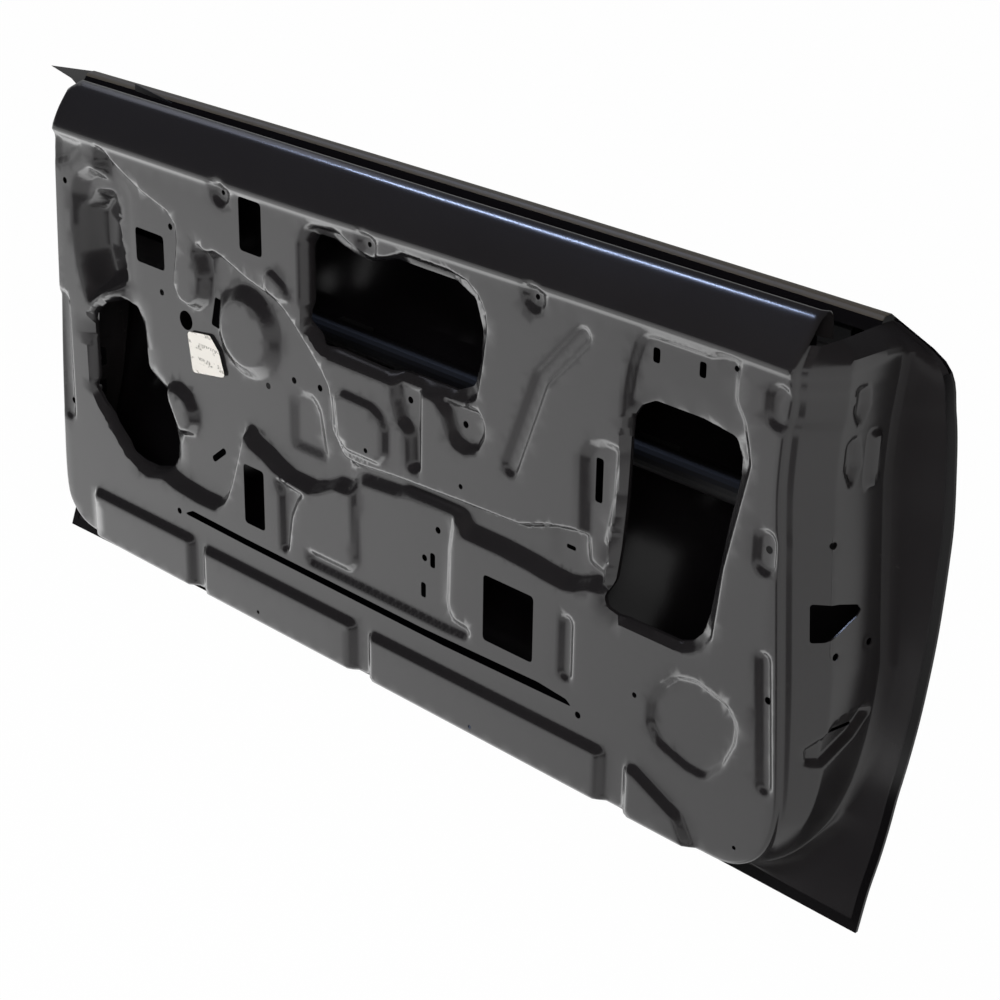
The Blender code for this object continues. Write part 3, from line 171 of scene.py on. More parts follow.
# Section of the skin: height share, depth share; and its front and rear edge at each height
skin_rows_shares = [
    (-0.019, 0.170, -0.056, 1.0950), (0.048, 0.320, -0.061, 1.0915), (0.096, 0.440, -0.064, 1.0900),
    (0.144, 0.550, -0.067, 1.0880), (0.213, 0.690, -0.070, 1.0850), (0.304, 0.815, -0.074, 1.0855),
    (0.384, 0.884, -0.079, 1.0865), (0.528, 0.960, -0.086, 1.0880), (0.672, 1.000, -0.092, 1.0880),
    (0.800, 1.014, -0.101, 1.0840), (0.912, 1.000, -0.112, 1.0784), (0.990, 0.975, -0.126, 1.0690),
    (1.013, 0.960, -0.168, 1.0530),
]
belt_front_shares = (-0.084, 1.032)
belt_rear_shares = (1.0116, 1.052)
belt_depth_share = 0.925
bow_middle_share = 0.6
bow_rear_share = 1.088
outline_rows = 90

regulator_shares = [
    (0.055, 0.974), (0.075, 0.950), (0.092, 0.931), (0.131, 0.898), (0.173, 0.875), (0.186, 0.850),
    (0.187, 0.816), (0.183, 0.771), (0.178, 0.721), (0.187, 0.687), (0.202, 0.683), (0.216, 0.704),
    (0.220, 0.752), (0.212, 0.806), (0.218, 0.835), (0.232, 0.818), (0.246, 0.827), (0.260, 0.822),
    (0.300, 0.794), (0.332, 0.779), (0.356, 0.760), (0.370, 0.738), (0.395, 0.693), (0.412, 0.659),
    (0.423, 0.631), (0.427, 0.592), (0.428, 0.540), (0.450, 0.480), (0.448, 0.412), (0.429, 0.408),
    (0.406, 0.382), (0.390, 0.370), (0.353, 0.371), (0.332, 0.386), (0.317, 0.401), (0.293, 0.416),
    (0.286, 0.436), (0.277, 0.380), (0.268, 0.324), (0.257, 0.270), (0.249, 0.246), (0.235, 0.224),
    (0.204, 0.223), (0.165, 0.230), (0.145, 0.240), (0.117, 0.226), (0.098, 0.234), (0.070, 0.274),
    (0.044, 0.324), (0.026, 0.374), (0.019, 0.408), (0.021, 0.560), (0.026, 0.573), (0.044, 0.598),
    (0.066, 0.637), (0.060, 0.700), (0.056, 0.800), (0.054, 0.880), (0.048, 0.930),
]
channel_shares = [
    (0.400, 0.545), (0.429, 0.526), (0.437, 0.503), (0.448, 0.489), (0.468, 0.486), (0.520, 0.495),
    (0.608, 0.504), (0.690, 0.510), (0.704, 0.520), (0.724, 0.534), (0.757, 0.548), (0.800, 0.548),
    (0.800, 0.444), (0.782, 0.439), (0.763, 0.422), (0.749, 0.416), (0.724, 0.419), (0.704, 0.424),
    (0.665, 0.429), (0.613, 0.430), (0.605, 0.457), (0.530, 0.453), (0.516, 0.446), (0.466, 0.438),
    (0.451, 0.408), (0.429, 0.408), (0.400, 0.380),
]
channel_top_shares = channel_shares[2:12] + [
    (0.800, 0.500), (0.757, 0.497), (0.724, 0.484), (0.690, 0.472), (0.608, 0.468), (0.520, 0.473),
    (0.468, 0.462), (0.455, 0.466),
]
pocket_shares = [
    (0.004, 0.838), (0.002, 0.760), (0.008, 0.676), (0.016, 0.620), (0.024, 0.585), (0.050, 0.622),
    (0.086, 0.655), (0.094, 0.720), (0.095, 0.802), (0.091, 0.859), (0.080, 0.893), (0.060, 0.912),
    (0.036, 0.910), (0.014, 0.885),
]
deep_pocket_shares = [
    (0.010, 0.800), (0.010, 0.700), (0.020, 0.640), (0.028, 0.612), (0.050, 0.632), (0.084, 0.664),
    (0.088, 0.720), (0.087, 0.800), (0.080, 0.850), (0.060, 0.862), (0.030, 0.850),
]
pocket_plate_shares = [
    (0.059, 0.868), (0.060, 0.800), (0.066, 0.720), (0.0735, 0.650), (0.0965, 0.645), (0.0965, 0.860),
    (0.086, 0.896), (0.066, 0.895),
]
corner_hollow_shares = [(-0.021, 0.965), (0.040, 0.962), (0.008, 0.905), (-0.023, 0.885)]
upper_rim_shares = [
    (0.382, 0.912), (0.382, 0.788), (0.387, 0.749), (0.398, 0.715), (0.412, 0.696), (0.423, 0.690),
    (0.513, 0.690), (0.552, 0.693), (0.612, 0.699), (0.631, 0.723), (0.638, 0.788), (0.644, 0.872),
    (0.642, 0.906), (0.634, 0.934), (0.617, 0.958), (0.592, 0.967), (0.528, 0.967), (0.507, 0.948),
    (0.482, 0.934), (0.457, 0.948), (0.438, 0.965), (0.401, 0.960), (0.390, 0.948),
]
upper_hole_shares = [
    (0.388, 0.906), (0.388, 0.751), (0.410, 0.703), (0.499, 0.701), (0.524, 0.711), (0.592, 0.714),
    (0.616, 0.738), (0.624, 0.790), (0.626, 0.858), (0.616, 0.915), (0.590, 0.937), (0.510, 0.937),
    (0.485, 0.918), (0.468, 0.913), (0.448, 0.919), (0.420, 0.933), (0.397, 0.932),
]
right_recess_shares = [
    (0.819, 0.912), (0.814, 0.850), (0.813, 0.760), (0.804, 0.576), (0.797, 0.464), (0.799, 0.427),
    (0.808, 0.408), (0.822, 0.400), (0.897, 0.400), (0.908, 0.408), (0.920, 0.425), (0.928, 0.447),
    (0.936, 0.592), (0.948, 0.704), (0.959, 0.805), (0.956, 0.838), (0.950, 0.883), (0.940, 0.915),
    (0.940, 0.950), (0.943, 0.978), (0.935, 0.992), (0.920, 0.990), (0.908, 0.981), (0.844, 0.981),
    (0.833, 0.976), (0.826, 0.958),
]
right_hole_shares = [
    (0.844, 0.853), (0.828, 0.835), (0.819, 0.807), (0.818, 0.751), (0.815, 0.632), (0.811, 0.542),
    (0.806, 0.475), (0.797, 0.436), (0.801, 0.417), (0.813, 0.408), (0.887, 0.409), (0.901, 0.421),
    (0.912, 0.446), (0.918, 0.486), (0.932, 0.660), (0.943, 0.773), (0.943, 0.805), (0.936, 0.842),
    (0.898, 0.853),
]
left_hole_shares = [
    (0.024, 0.560), (0.048, 0.600), (0.071, 0.615), (0.092, 0.611), (0.102, 0.578), (0.105, 0.529),
    (0.107, 0.480), (0.116, 0.462), (0.139, 0.442), (0.136, 0.418), (0.147, 0.387), (0.155, 0.330),
    (0.153, 0.285), (0.143, 0.258), (0.116, 0.241), (0.099, 0.245), (0.082, 0.262), (0.054, 0.313),
    (0.034, 0.358), (0.023, 0.387),
]
first_lobe_shares = [
    (0.514, 0.705), (0.516, 0.659), (0.524, 0.614), (0.535, 0.598), (0.537, 0.520), (0.557, 0.520),
    (0.558, 0.705),
]
second_lobe_shares = [
    (0.563, 0.705), (0.577, 0.687), (0.586, 0.670), (0.594, 0.631), (0.601, 0.613), (0.617, 0.606),
    (0.634, 0.618), (0.644, 0.655), (0.643, 0.687), (0.634, 0.712),
]
raised_pad_shares = [
    (0.433, 0.617), (0.446, 0.637), (0.490, 0.634), (0.504, 0.620), (0.512, 0.592), (0.512, 0.535),
    (0.500, 0.507), (0.452, 0.507), (0.438, 0.530),
]
slot_recess_shares = [
    (0.766, 0.560), (0.764, 0.704), (0.774, 0.739), (0.792, 0.752), (0.815, 0.750), (0.812, 0.640),
    (0.803, 0.544), (0.799, 0.464), (0.770, 0.480),
]
square_recess_shares = [(0.724, 0.456), (0.724, 0.533), (0.766, 0.533), (0.766, 0.456)]
pillow_shares = [
    (0.452, 0.470), (0.456, 0.262), (0.448, 0.243), (0.387, 0.243), (0.382, 0.224), (0.387, 0.203),
    (0.596, 0.203), (0.624, 0.206), (0.629, 0.224), (0.624, 0.242), (0.602, 0.2445), (0.598, 0.272),
    (0.600, 0.391), (0.606, 0.470),
]
funnel_shares = [
    (0.332, 0.376), (0.342, 0.335), (0.343, 0.212), (0.350, 0.203), (0.357, 0.211), (0.359, 0.240),
    (0.364, 0.296), (0.373, 0.335), (0.385, 0.362),
]
side_pocket_shares = [
    (0.347, 0.440), (0.347, 0.555), (0.364, 0.579), (0.381, 0.582), (0.391, 0.570), (0.398, 0.547),
    (0.408, 0.440),
]
half_moon_shares = [
    (0.146, 0.425), (0.143, 0.455), (0.149, 0.470), (0.166, 0.478), (0.186, 0.464), (0.197, 0.430),
    (0.199, 0.397), (0.190, 0.365), (0.166, 0.352),
]
small_pad_shares = [
    (0.330, 0.784), (0.328, 0.822), (0.342, 0.836), (0.362, 0.815), (0.374, 0.780), (0.352, 0.770),
]
corner_recess_shares = [
    (0.857, 0.220), (0.858, 0.275), (0.870, 0.315), (0.888, 0.350), (0.912, 0.359), (0.950, 0.340),
    (0.964, 0.305), (0.962, 0.260), (0.950, 0.205), (0.929, 0.160), (0.905, 0.163), (0.870, 0.185),
]
lower_pads_shares = [(0.016, 0.200, 0.138), (0.214, 0.464, 0.131), (0.482, 0.810, 0.126)]
rear_pad_shares = [(0.834, -0.05), (0.834, 0.118), (0.848, 0.124), (0.905, 0.070), (0.940, -0.05)]
pad_foot_share = -0.05

# Through holes: plain outlines, then rectangles by their corners
drain_slot_shares = [
    (0.180, 0.181), (0.196, 0.197), (0.288, 0.193), (0.560, 0.189), (0.720, 0.196), (0.757, 0.189),
    (0.765, 0.178), (0.592, 0.172), (0.288, 0.177),
]
crank_slot_shares = [(0.231, 0.709), (0.244, 0.707), (0.237, 0.639), (0.223, 0.643)]
rectangle_shares = [
    (0.0985, 0.721, 0.147, 0.799), (0.292, 0.851, 0.327, 0.966), (0.286, 0.233, 0.319, 0.372),
    (0.645, 0.230, 0.712, 0.373),
]
slit_shares = [
    (0.780, 0.617, 0.789, 0.705), (0.841, 0.925, 0.849, 0.953), (0.893, 0.928, 0.9005, 0.957),
    (0.566, 0.327, 0.573, 0.359), (0.553, 0.252, 0.560, 0.285), (0.7395, 0.488, 0.751, 0.497),
]
obround_shares = [(0.2196, 0.330), (0.236, 0.357)]
screw_holes_shares = [
    (0.160, 0.828), (0.140, 0.670), (0.3136, 0.557), (0.355, 0.594), (0.395, 0.601), (0.534, 0.663),
    (0.610, 0.659), (0.577, 0.415), (0.558, 0.341), (0.981, 0.664), (0.991, 0.377), (-0.014, 0.572),
    (-0.021, 0.326), (-0.0045, 0.860), (0.172, 0.181), (0.773, 0.167),
]
nut_holes_shares = [
    (0.263, 0.956), (0.482, 0.956), (0.704, 0.970), (0.484, 0.532), (0.613, 0.537), (0.933, 0.966),
    (0.842, 0.268),
]
pin_holes_shares = [(0.312, 0.040), (0.636, 0.030), (0.968, 0.054)]
plug_hole_shares = (0.180, 0.628)
bosses_shares = nut_holes_shares[:3]
disc_shares = (0.286, 0.661)
beads_shares = [
    ([(-0.023, 0.576), (-0.025, 0.300)], long_bead),
    ([(0.678, 0.621), (0.716, 0.824), (0.764, 0.931)], slanted_bead),
    ([(0.986, 0.456), (0.9965, 0.208)], rear_bead),
    ([(0.7545, 0.350), (0.7545, 0.243)], short_bead),
    ([(0.984, 0.945), (0.984, 0.915)], upper_notch),
    ([(0.980, 0.680), (0.980, 0.640)], lower_notch),
]

# Return walls of the inner panel: for each fold its outward step, as a share of the skin's depth, and its
# share of the way back to the skin; then the place and direction in degrees where each set of folds holds.
front_folds_shares = [(0.0199, 0.25), (0.0398, 0.50), (0.0596, 0.75), (0.0781, 0.98), (0.1105, 1.0)]
bottom_folds_shares = [(0.0295, 0.25), (0.0589, 0.50), (0.0884, 0.75), (0.1178, 0.93), (0.2209, 1.0)]
rear_folds_shares = [(0.0120, 0.035), (0.0626, 0.065), (0.2541, 0.300), (0.3387, 0.83), (0.4308, 0.89)]
full_wall_share = 0.92
hem_row_share = 0.97
row_spread_share = 0.1
hem_gap_share = 1 / 3

# Points of the face's outline, by their number: where the folds of each wall hold, the ends of the straight
# front wall, and the one level with the latch
front_points, bottom_points, rear_points = (1, 4), (9, 11), (16, 24)
hinge_wall_points = (2, 3)
latch_point = 20
stations_shares = [
    (face_shares[i], turn, folds)
    for points, turn, folds in (
        (front_points, 180.0, front_folds_shares),
        (bottom_points, 270.0, bottom_folds_shares),
        (rear_points, 360.0, rear_folds_shares),
    )
    for i in points
]

# Latch opening on the end wall: depth share, height share
latch_hole_shares = [
    (0.185, 0.572), (0.377, 0.566), (0.562, 0.554), (0.603, 0.541), (0.562, 0.531), (0.397, 0.512),
    (0.274, 0.498), (0.185, 0.498),
]
latch_screws_shares = [(0.325, 0.678), (0.690, 0.474), (0.353, 0.468)]

# Forms pressed in the end wall, as shares of depth and height, with how far each goes outwards, and the corners
# of the area that is meshed finely for them
boat_shares = [
    (0.16, 0.292), (0.37, 0.337), (0.68, 0.354), (0.74, 0.337), (0.57, 0.296), (0.29, 0.258), (0.16, 0.258),
]
upper_pocket_shares = [(0.40, 0.965), (0.52, 0.965), (0.56, 0.925), (0.50, 0.880), (0.42, 0.915)]
lower_pocket_shares = [(0.40, 0.860), (0.49, 0.872), (0.55, 0.815), (0.48, 0.765), (0.40, 0.810)]
bump_shares = [(0.60, 0.872), (0.72, 0.872), (0.74, 0.772), (0.61, 0.760)]
end_forms_shares = [
    (boat_shares, -0.0075), (upper_pocket_shares, -0.005), (lower_pocket_shares, -0.007),
    (bump_shares, 0.007),
]
end_wall_shares = [(0.15, 0.225), (0.84, 0.99)]
end_slot_shares = [(0.33, 0.316), (0.57, 0.3165)]
end_form_wall = 0.0055
dimple_radius = 0.0085
dimple_wall = 0.004
dimple_depth = 0.0006
end_slot = 0.002
end_start_share = 1.012
end_overrun = 0.05

# Hinges, check arm and latch, as in the solids
upper_hinge_share = 0.730
lower_hinge_share = 0.360
check_arm_share = 0.505
hinge_depth_share = 0.42
hinge_bolt_hole = 0.0055
hinge_bolt_pitch = 0.044
check_hole_width = 0.018
check_hole_height = 0.026
check_bolt_pitch = 0.044

# Cutters for the holes of the walls: where they start in front of the wall, and how far they reach
cutter_start = -0.01
cutter_length = 0.02
latch_cutter = 0.066

# Rows on each straight stretch of the return walls, and radius of each fold in metres
wall_rows = (3, 2, 3, 12, 3, 3, 1)
fold_radii = (0.0015, 0.0015, 0.0025, 0.006, 0.005, 0.0)
fold_rows = 3

# Flange behind the belt roll: shares of the roll's thickness backwards and of the flange's height down
roll_flange_turns = (
    (0.18, -0.01), (0.38, 0.02), (0.58, 0.10), (0.75, 0.22), (0.90, 0.40), (1.0, 0.65), (1.0, 1.0),
)

# Fold over the skin's belt: shares of its width towards the cabin and of its height upwards
belt_turns = (
    (-0.08, 0.6), (-0.2, 1.0), (-0.8, 1.0), (-1.0, 0.2), (-1.25, -2.4), (-1.9, -belt_drop / belt_rise),
)

# Points along the skin's edge that the hem leaves free at the front and rear of the belt
hem_free_front = 6
hem_free_rear = 3

# Rings of points round each edge and lip, as multiples of its radius
lip_rings_shares = (0.2, 0.42, 0.7, 1.0)

# Point spacing, as multiples of the edge spacing, by how sharply the face bends per metre, and on the roll
grid_steps = (2.4, 1.0, 0.5)
bend_steps = (0.0, 4.0, 60.0, 1e9)
roll_step = 1.2
hole_spacing = 0.004

# Rows of points along the belt roll, as shares of its rise above the crease
roll_rows_shares = (
    -0.30, -0.22, -0.14, -0.06, 0.0, 0.06, 0.14, 0.22, 0.32, 0.42, 0.52, 0.62, 0.72, 0.80, 0.86, 0.91, 0.94,
    0.965, 0.985,
)
roll_clearance_share = 0.04

# The roll's own section takes over from the softened grid between this share of its rise and twice as much
roll_blend_share = 0.2

# Least distances between the face's points and its rings, one another, its edge and its holes, and distances
# at which two points or a point and a line count as one
ring_clearance = 0.0015
grid_clearance = 0.0016
edge_clearance = 0.0006
hole_clearance = 0.0007
weld_distance = 1e-5
match_distance = 1e-4

# The grid of depths: its lower front corner, and its length and height
surface_low = (-0.075, -0.015)
surface_size = (1.32, 0.68)

# Rounding of corners: how much of an edge one corner may take, and how far a mitred point may move out
corner_cut_share = 0.48
fold_cut_share = 0.45
shortest_mitre = 0.5
least_mitre_cosine = 0.6
search_margin = 0.012
edge_fullness = 0.98
lip_fullness = 0.8
sharp_angle = math.radians(40)

# Between these shares of the skin's depth the coat's gloss and film fade: a painted shade that darkens the deep
# folds near the skin
painted_shade_depth_shares = (0.66, 0.84)

# The rows of print on the label repeat every 2 pi times this length
label_row = 0.0030

# How far the floor reaches to each side, how much of its white doesn't depend on the light that falls on it,
# and the places where its mirror image is brightest and darkest
floor_reach = 20.0
white_share = 0.99
bright_floor_place = (-2.4, -2.0, 0.0)
dark_floor_place = (1.9, -2.9, 0.0)

# Directions in which the studio's front and back horizons are brightest
front_horizon = (-0.7, -0.7, 0.0)
back_horizon = (-0.3, 0.95, 0.0)

# Materials, by what they stand for
satin_coat = "Satin e-coat on pressed steel"
gloss_coat = "Gloss black e-coat on steel"
# The belt fold's olive-grey is a painted reflection on the skin's black coat
belt_fold_painted_reflection = "Painted reflection on the belt fold"
# Near black for the parts the record gives bare steel: phosphate, and painted shade on the beam deep inside the
# door
phosphate_and_painted_shade = "Black phosphate and painted shade"
mastic = "Extruded mastic"
paper = "Label paper"

# Camera: its place in the door's coordinates before it is drawn towards their origin to this share, and its
# angles in degrees
camera_place = Vector((2.57418914, -1.79799827, 1.52374965))
camera_nearness = 0.93
camera_down, camera_turn, camera_roll = 25.3, 44.1, -0.94
camera_lens = 84.6
camera_sensor = 36.0


def plan(shares):
    """Shares of length and height as points on the face, in metres."""
    return np.array(shares, float) * (panel_length, panel_height)


def wall_plan(shares):
    """Shares of depth and height as points on the end wall, in metres."""
    return np.array(shares, float) * (skin_depth, panel_height)


def curve_through(x, knots, values):
    """A smooth curve through the knots that never overshoots them."""
    knots, values = np.asarray(knots, float), np.asarray(values, float)
    order = np.argsort(knots)
    knots, values = knots[order], values[order]
    gaps = np.diff(knots)
    slopes = np.diff(values) / gaps
    tangents = np.concatenate([slopes[:1], (slopes[1:] + slopes[:-1]) / 2, slopes[-1:]])
    flat = slopes[1:] * slopes[:-1] <= 0
    tangents[1:-1][flat] = 0
    limit = 3 * np.minimum(np.abs(slopes[1:]), np.abs(slopes[:-1]))
    tangents[1:-1] = np.clip(tangents[1:-1], -limit, limit)
    x = np.clip(x, knots[0], knots[-1])
    i = np.clip(np.searchsorted(knots, x, side="right") - 1, 0, len(gaps) - 1)
    t = (x - knots[i]) / gaps[i]
    rise = values[i] * (1 + 2 * t) * (1 - t) ** 2 + values[i + 1] * t * t * (3 - 2 * t)
    return rise + gaps[i] * (tangents[i] * t * (1 - t) ** 2 - tangents[i + 1] * t * t * (1 - t))


def rounded(points, radius, steps=5):
    """A closed outline with an arc of this radius, or as much as its edges allow, at each corner."""
    points = np.asarray(points, float)
    out = []
    for before, corner, after in zip(np.roll(points, 1, 0), points, np.roll(points, -1, 0)):
        into, on = before - corner, after - corner
        lengths = np.hypot(*into), np.hypot(*on)
        turn = math.pi - math.acos(np.clip(into @ on / (lengths[0] * lengths[1]), -1, 1))
        cut = min(radius * math.tan(turn / 2), *(length * corner_cut_share for length in lengths))
        start, end = corner + into / lengths[0] * cut, corner + on / lengths[1] * cut
        count = max(1, round(steps * turn))
        for i in range(count + 1):
            t = i / count
            out.append((1 - t) ** 2 * start + 2 * t * (1 - t) * corner + t * t * end)
    return np.array(out)


def ring(centre, radius, sides):
    angles = np.linspace(0, 2 * math.pi, sides, endpoint=False)
    return centre + radius * np.stack([np.cos(angles), np.sin(angles)], 1)


def stroke(centreline, half_width, steps=10):
    """The outline of a line drawn with a round pen."""
    points = np.asarray(centreline, float)
    out = []
    for line in (points, points[::-1]):
        for i, point in enumerate(line[:-1]):
            along = (line[i + 1] - point) / np.hypot(*(line[i + 1] - point))
            side = np.array([along[1], -along[0]]) * half_width
            out.append(point + side)
        out.append(line[-1] + side)
        start = math.atan2(side[1], side[0])
        for i in range(1, steps):
            angle = start + math.pi * i / steps
            out.append(line[-1] + half_width * np.array([math.cos(angle), math.sin(angle)]))
    return np.array(out)


def inside(points, outline):
    """Distance of each point from an outline, below zero outside it and far below away from its box."""
    points = np.asarray(points, float)
    result = np.full(len(points), -1.0)
    low, high = outline.min(0) - search_margin, outline.max(0) + search_margin
    near = np.all((points > low) & (points < high), axis=1)
    close = points[near]
    best = np.full(len(close), np.inf)
    crossings = np.zeros(len(close), int)
    for a, b in zip(outline, np.roll(outline, -1, 0)):
        edge = b - a
        if not edge @ edge:
            continue
        along = np.clip((close - a) @ edge / (edge @ edge), 0, 1)
        best = np.minimum(best, np.hypot(*(close - a - along[:, None] * edge).T))
        level = (a[1] > close[:, 1]) != (b[1] > close[:, 1])
        rise = edge[1] if edge[1] else 1
        crossings += level & (close[:, 0] < a[0] + (close[:, 1] - a[1]) / rise * edge[0])
    result[near] = np.where(crossings % 2, best, -best)
    return result


def inset(outline, distance):
    """The outline moved inwards by this distance."""
    area = np.sum(outline[:, 0] * np.roll(outline[:, 1], -1) - np.roll(outline[:, 0], -1) * outline[:, 1])
    out = []
    for before, point, after in zip(np.roll(outline, 1, 0), outline, np.roll(outline, -1, 0)):
        first, second = point - before, after - point
        if not (first @ first and second @ second):
            continue
        normals = [np.array([-e[1], e[0]]) / np.hypot(*e) for e in (first, second)]
        middle = normals[0] + normals[1]
        middle /= max(np.hypot(*middle), shortest_mitre)
        cosine = max(middle @ normals[0], least_mitre_cosine)
        out.append(point + middle * math.copysign(distance / cosine, area))
    return np.array(out)


def spaced(outline, spacing, closed=True):
    """Points at even spacing along an outline or a line."""
    line = np.vstack([outline, outline[:1]]) if closed else np.asarray(outline, float)
    run = np.concatenate([[0], np.cumsum(np.hypot(*np.diff(line, axis=0).T))])
    count = max(3, int(round(run[-1] / spacing)))
    stops = np.linspace(0, run[-1], count + 1)[:-1 if closed else None]
    return np.stack([np.interp(stops, run, line[:, i]) for i in (0, 1)], 1)


def softened(line, times=2):
    """An open line with its corners cut twice over, between the same ends."""
    for _ in range(times):
        low, high = line[:-1] * 0.75 + line[1:] * 0.25, line[:-1] * 0.25 + line[1:] * 0.75
        line = np.vstack([line[:1], np.stack([low, high], 1).reshape(-1, 2)[1:-1], line[-1:]])
    return line


class Form:
    """A pressed form: its outline, the width of its wall, and its depth, set as a level or added to one."""

    def __init__(self, outline, wall, depth, add=False):
        self.outline, self.wall, self.depth, self.add = outline, wall, depth, add

    def press(self, points, depths):
        share = np.clip(inside(points, self.outline) / self.wall, 0, 1)
        return depths + share * (self.depth if self.add else self.depth - depths)


def pressed(shares, radius, wall, depth, add=False):
    """A pressed form whose outline is given in shares, with rounded corners."""
    return Form(rounded(plan(shares), radius), wall, depth, add)


def pressed_forms():
    """The forms in the order of pressing: a later one overrides or adds to those before it."""
    forms = [
        pressed(pillow_shares, form_radius, pillow_wall, pillow_depth),
        pressed(channel_shares, form_radius, channel_wall, channel_depth),
        pressed(channel_top_shares, hole_radius, bead_wall, channel_depth),
        pressed(regulator_shares, form_radius, soft_wall, regulator_depth),
        pressed(corner_hollow_shares, form_radius, soft_wall, bead_depth),
        pressed(pocket_shares, large_radius, wide_wall, regulator_depth),
        pressed(deep_pocket_shares, large_radius, wide_wall, pocket_depth),
        pressed(pocket_plate_shares, hole_radius, lobe_wall, plate_depth),
        pressed(right_recess_shares, form_radius, steep_wall, recess_depth),
        pressed(slot_recess_shares, form_radius, soft_wall, recess_depth),
        pressed(square_recess_shares, hole_radius, bead_wall, square_depth),
        pressed(first_lobe_shares, form_radius, lobe_wall, lobe_depth),
        pressed(second_lobe_shares, form_radius, lobe_wall, lobe_depth),
        pressed(upper_rim_shares, form_radius, rim_wall, rim_depth),
        Form(inset(rounded(plan(right_hole_shares), form_radius), -soft_wall), soft_wall, rim_depth),
        pressed(funnel_shares, form_radius, steep_wall, recess_depth),
        pressed(corner_recess_shares, large_radius, steep_wall, boss_depth),
        pressed(raised_pad_shares, form_radius, bead_wall, -boss_depth, add=True),
        pressed(side_pocket_shares, form_radius, soft_wall, bead_depth, add=True),
        pressed(half_moon_shares, form_radius, soft_wall, -disc_height, add=True),
        pressed(small_pad_shares, form_radius, bead_wall, -bead_depth, add=True),
        Form(ring(plan(disc_shares), disc_radius, disc_sides), disc_wall, -disc_height, add=True),
    ]
    for left, right, top in lower_pads_shares:
        box = [(left, pad_foot_share), (left, top), (right, top), (right, pad_foot_share)]
        forms.append(pressed(box, form_radius, pad_wall, -pad_height))
    forms.append(pressed(rear_pad_shares, form_radius, pad_wall, -pad_height))
    for line, half_width in beads_shares:
        forms.append(Form(stroke(plan(line), half_width), bead_wall, bead_depth, add=True))
    for centre in bosses_shares:
        forms.append(Form(ring(plan(centre), boss_radius, boss_sides), steep_wall, boss_depth, add=True))
    return forms


def box_outline(low_u, low_v, high_u, high_v):
    return plan([(low_u, low_v), (low_u, high_v), (high_u, high_v), (high_u, low_v)])


def flanged_holes():
    """Large openings, whose edges turn away from the cabin."""
    shapes = (left_hole_shares, upper_hole_shares, right_hole_shares)
    return [spaced(rounded(plan(shape), form_radius), hole_spacing) for shape in shapes]


def plain_holes():
    holes = [rounded(plan(slot), slot_radius, 3) for slot in (drain_slot_shares, crank_slot_shares)]
    holes += [rounded(box_outline(*corners), hole_radius, 3) for corners in rectangle_shares]
    holes += [rounded(box_outline(*corners), slot_radius, 3) for corners in slit_shares]
    holes.append(stroke(plan(obround_shares), screw_hole, 6))
    holes += [ring(plan(centre), screw_hole, hole_sides) for centre in screw_holes_shares]
    holes += [ring(plan(centre), small_hole, hole_sides) for centre in nut_holes_shares]
    holes += [ring(plan(centre), pin_hole, pin_sides) for centre in pin_holes_shares]
    holes.append(ring(plan(plug_hole_shares), plug_hole, plug_sides))
    return holes


def crease_height(x):
    line = plan(crease_shares)
    return curve_through(x, line[:, 0], line[:, 1])


def roll_rise(x):
    """Height of the belt roll above the crease, up to the straight line along its top."""
    front, rear = plan(roll_front_shares), plan(face_shares[-1])
    return front[1] + (rear[1] - front[1]) * (x - front[0]) / (rear[0] - front[0]) - crease_height(x)


def roll_share(points):
    """Share of the roll's height at each point: zero at the crease, one at its top."""
    return (points[:, 1] - crease_height(points[:, 0])) / roll_rise(points[:, 0])


def shoulder_depth(points):
    """Depth of the belt roll above the crease, and zero on the face below it."""
    rise = roll_share(points)
    shares = np.array(shoulder_shares)
    scale = np.where(shares[:, 1] < 0, shoulder_lip / -shares[:, 1].min(), shoulder_reach)
    return curve_through(rise, shares[:, 0], shares[:, 1] * scale)


def face_sides():
    """The face's outline as an open line: front, bottom and rear, without the top."""
    return softened(plan(face_shares))


def edge_distance(points):
    """Distance of each point from the face's front, bottom and rear edges."""
    line = face_sides()
    best = np.full(len(points), np.inf)
    for a, b in zip(line, line[1:]):
        edge = b - a
        along = np.clip((points - a) @ edge / (edge @ edge), 0, 1)
        best = np.minimum(best, np.hypot(*(points - a - along[:, None] * edge).T))
    return best


def edge_roll(points, radius):
    """Depth added near the front, bottom and rear edges, where the face turns into its return walls."""
    t = np.clip(1 - edge_distance(points) / radius, 0, 1)
    return radius * (1 - np.sqrt(1 - t * t * edge_fullness))


def lip_depth(points, holes, radius):
    """Depth of the rolled lip round each large opening."""
    depth = np.zeros(len(points))
    for outline in holes:
        gap = -inside(points, outline)
        t = np.clip(1 - gap / radius, 0, 1) * (gap < radius)
        depth = np.maximum(depth, radius * lip_fullness * t * t)
    return depth


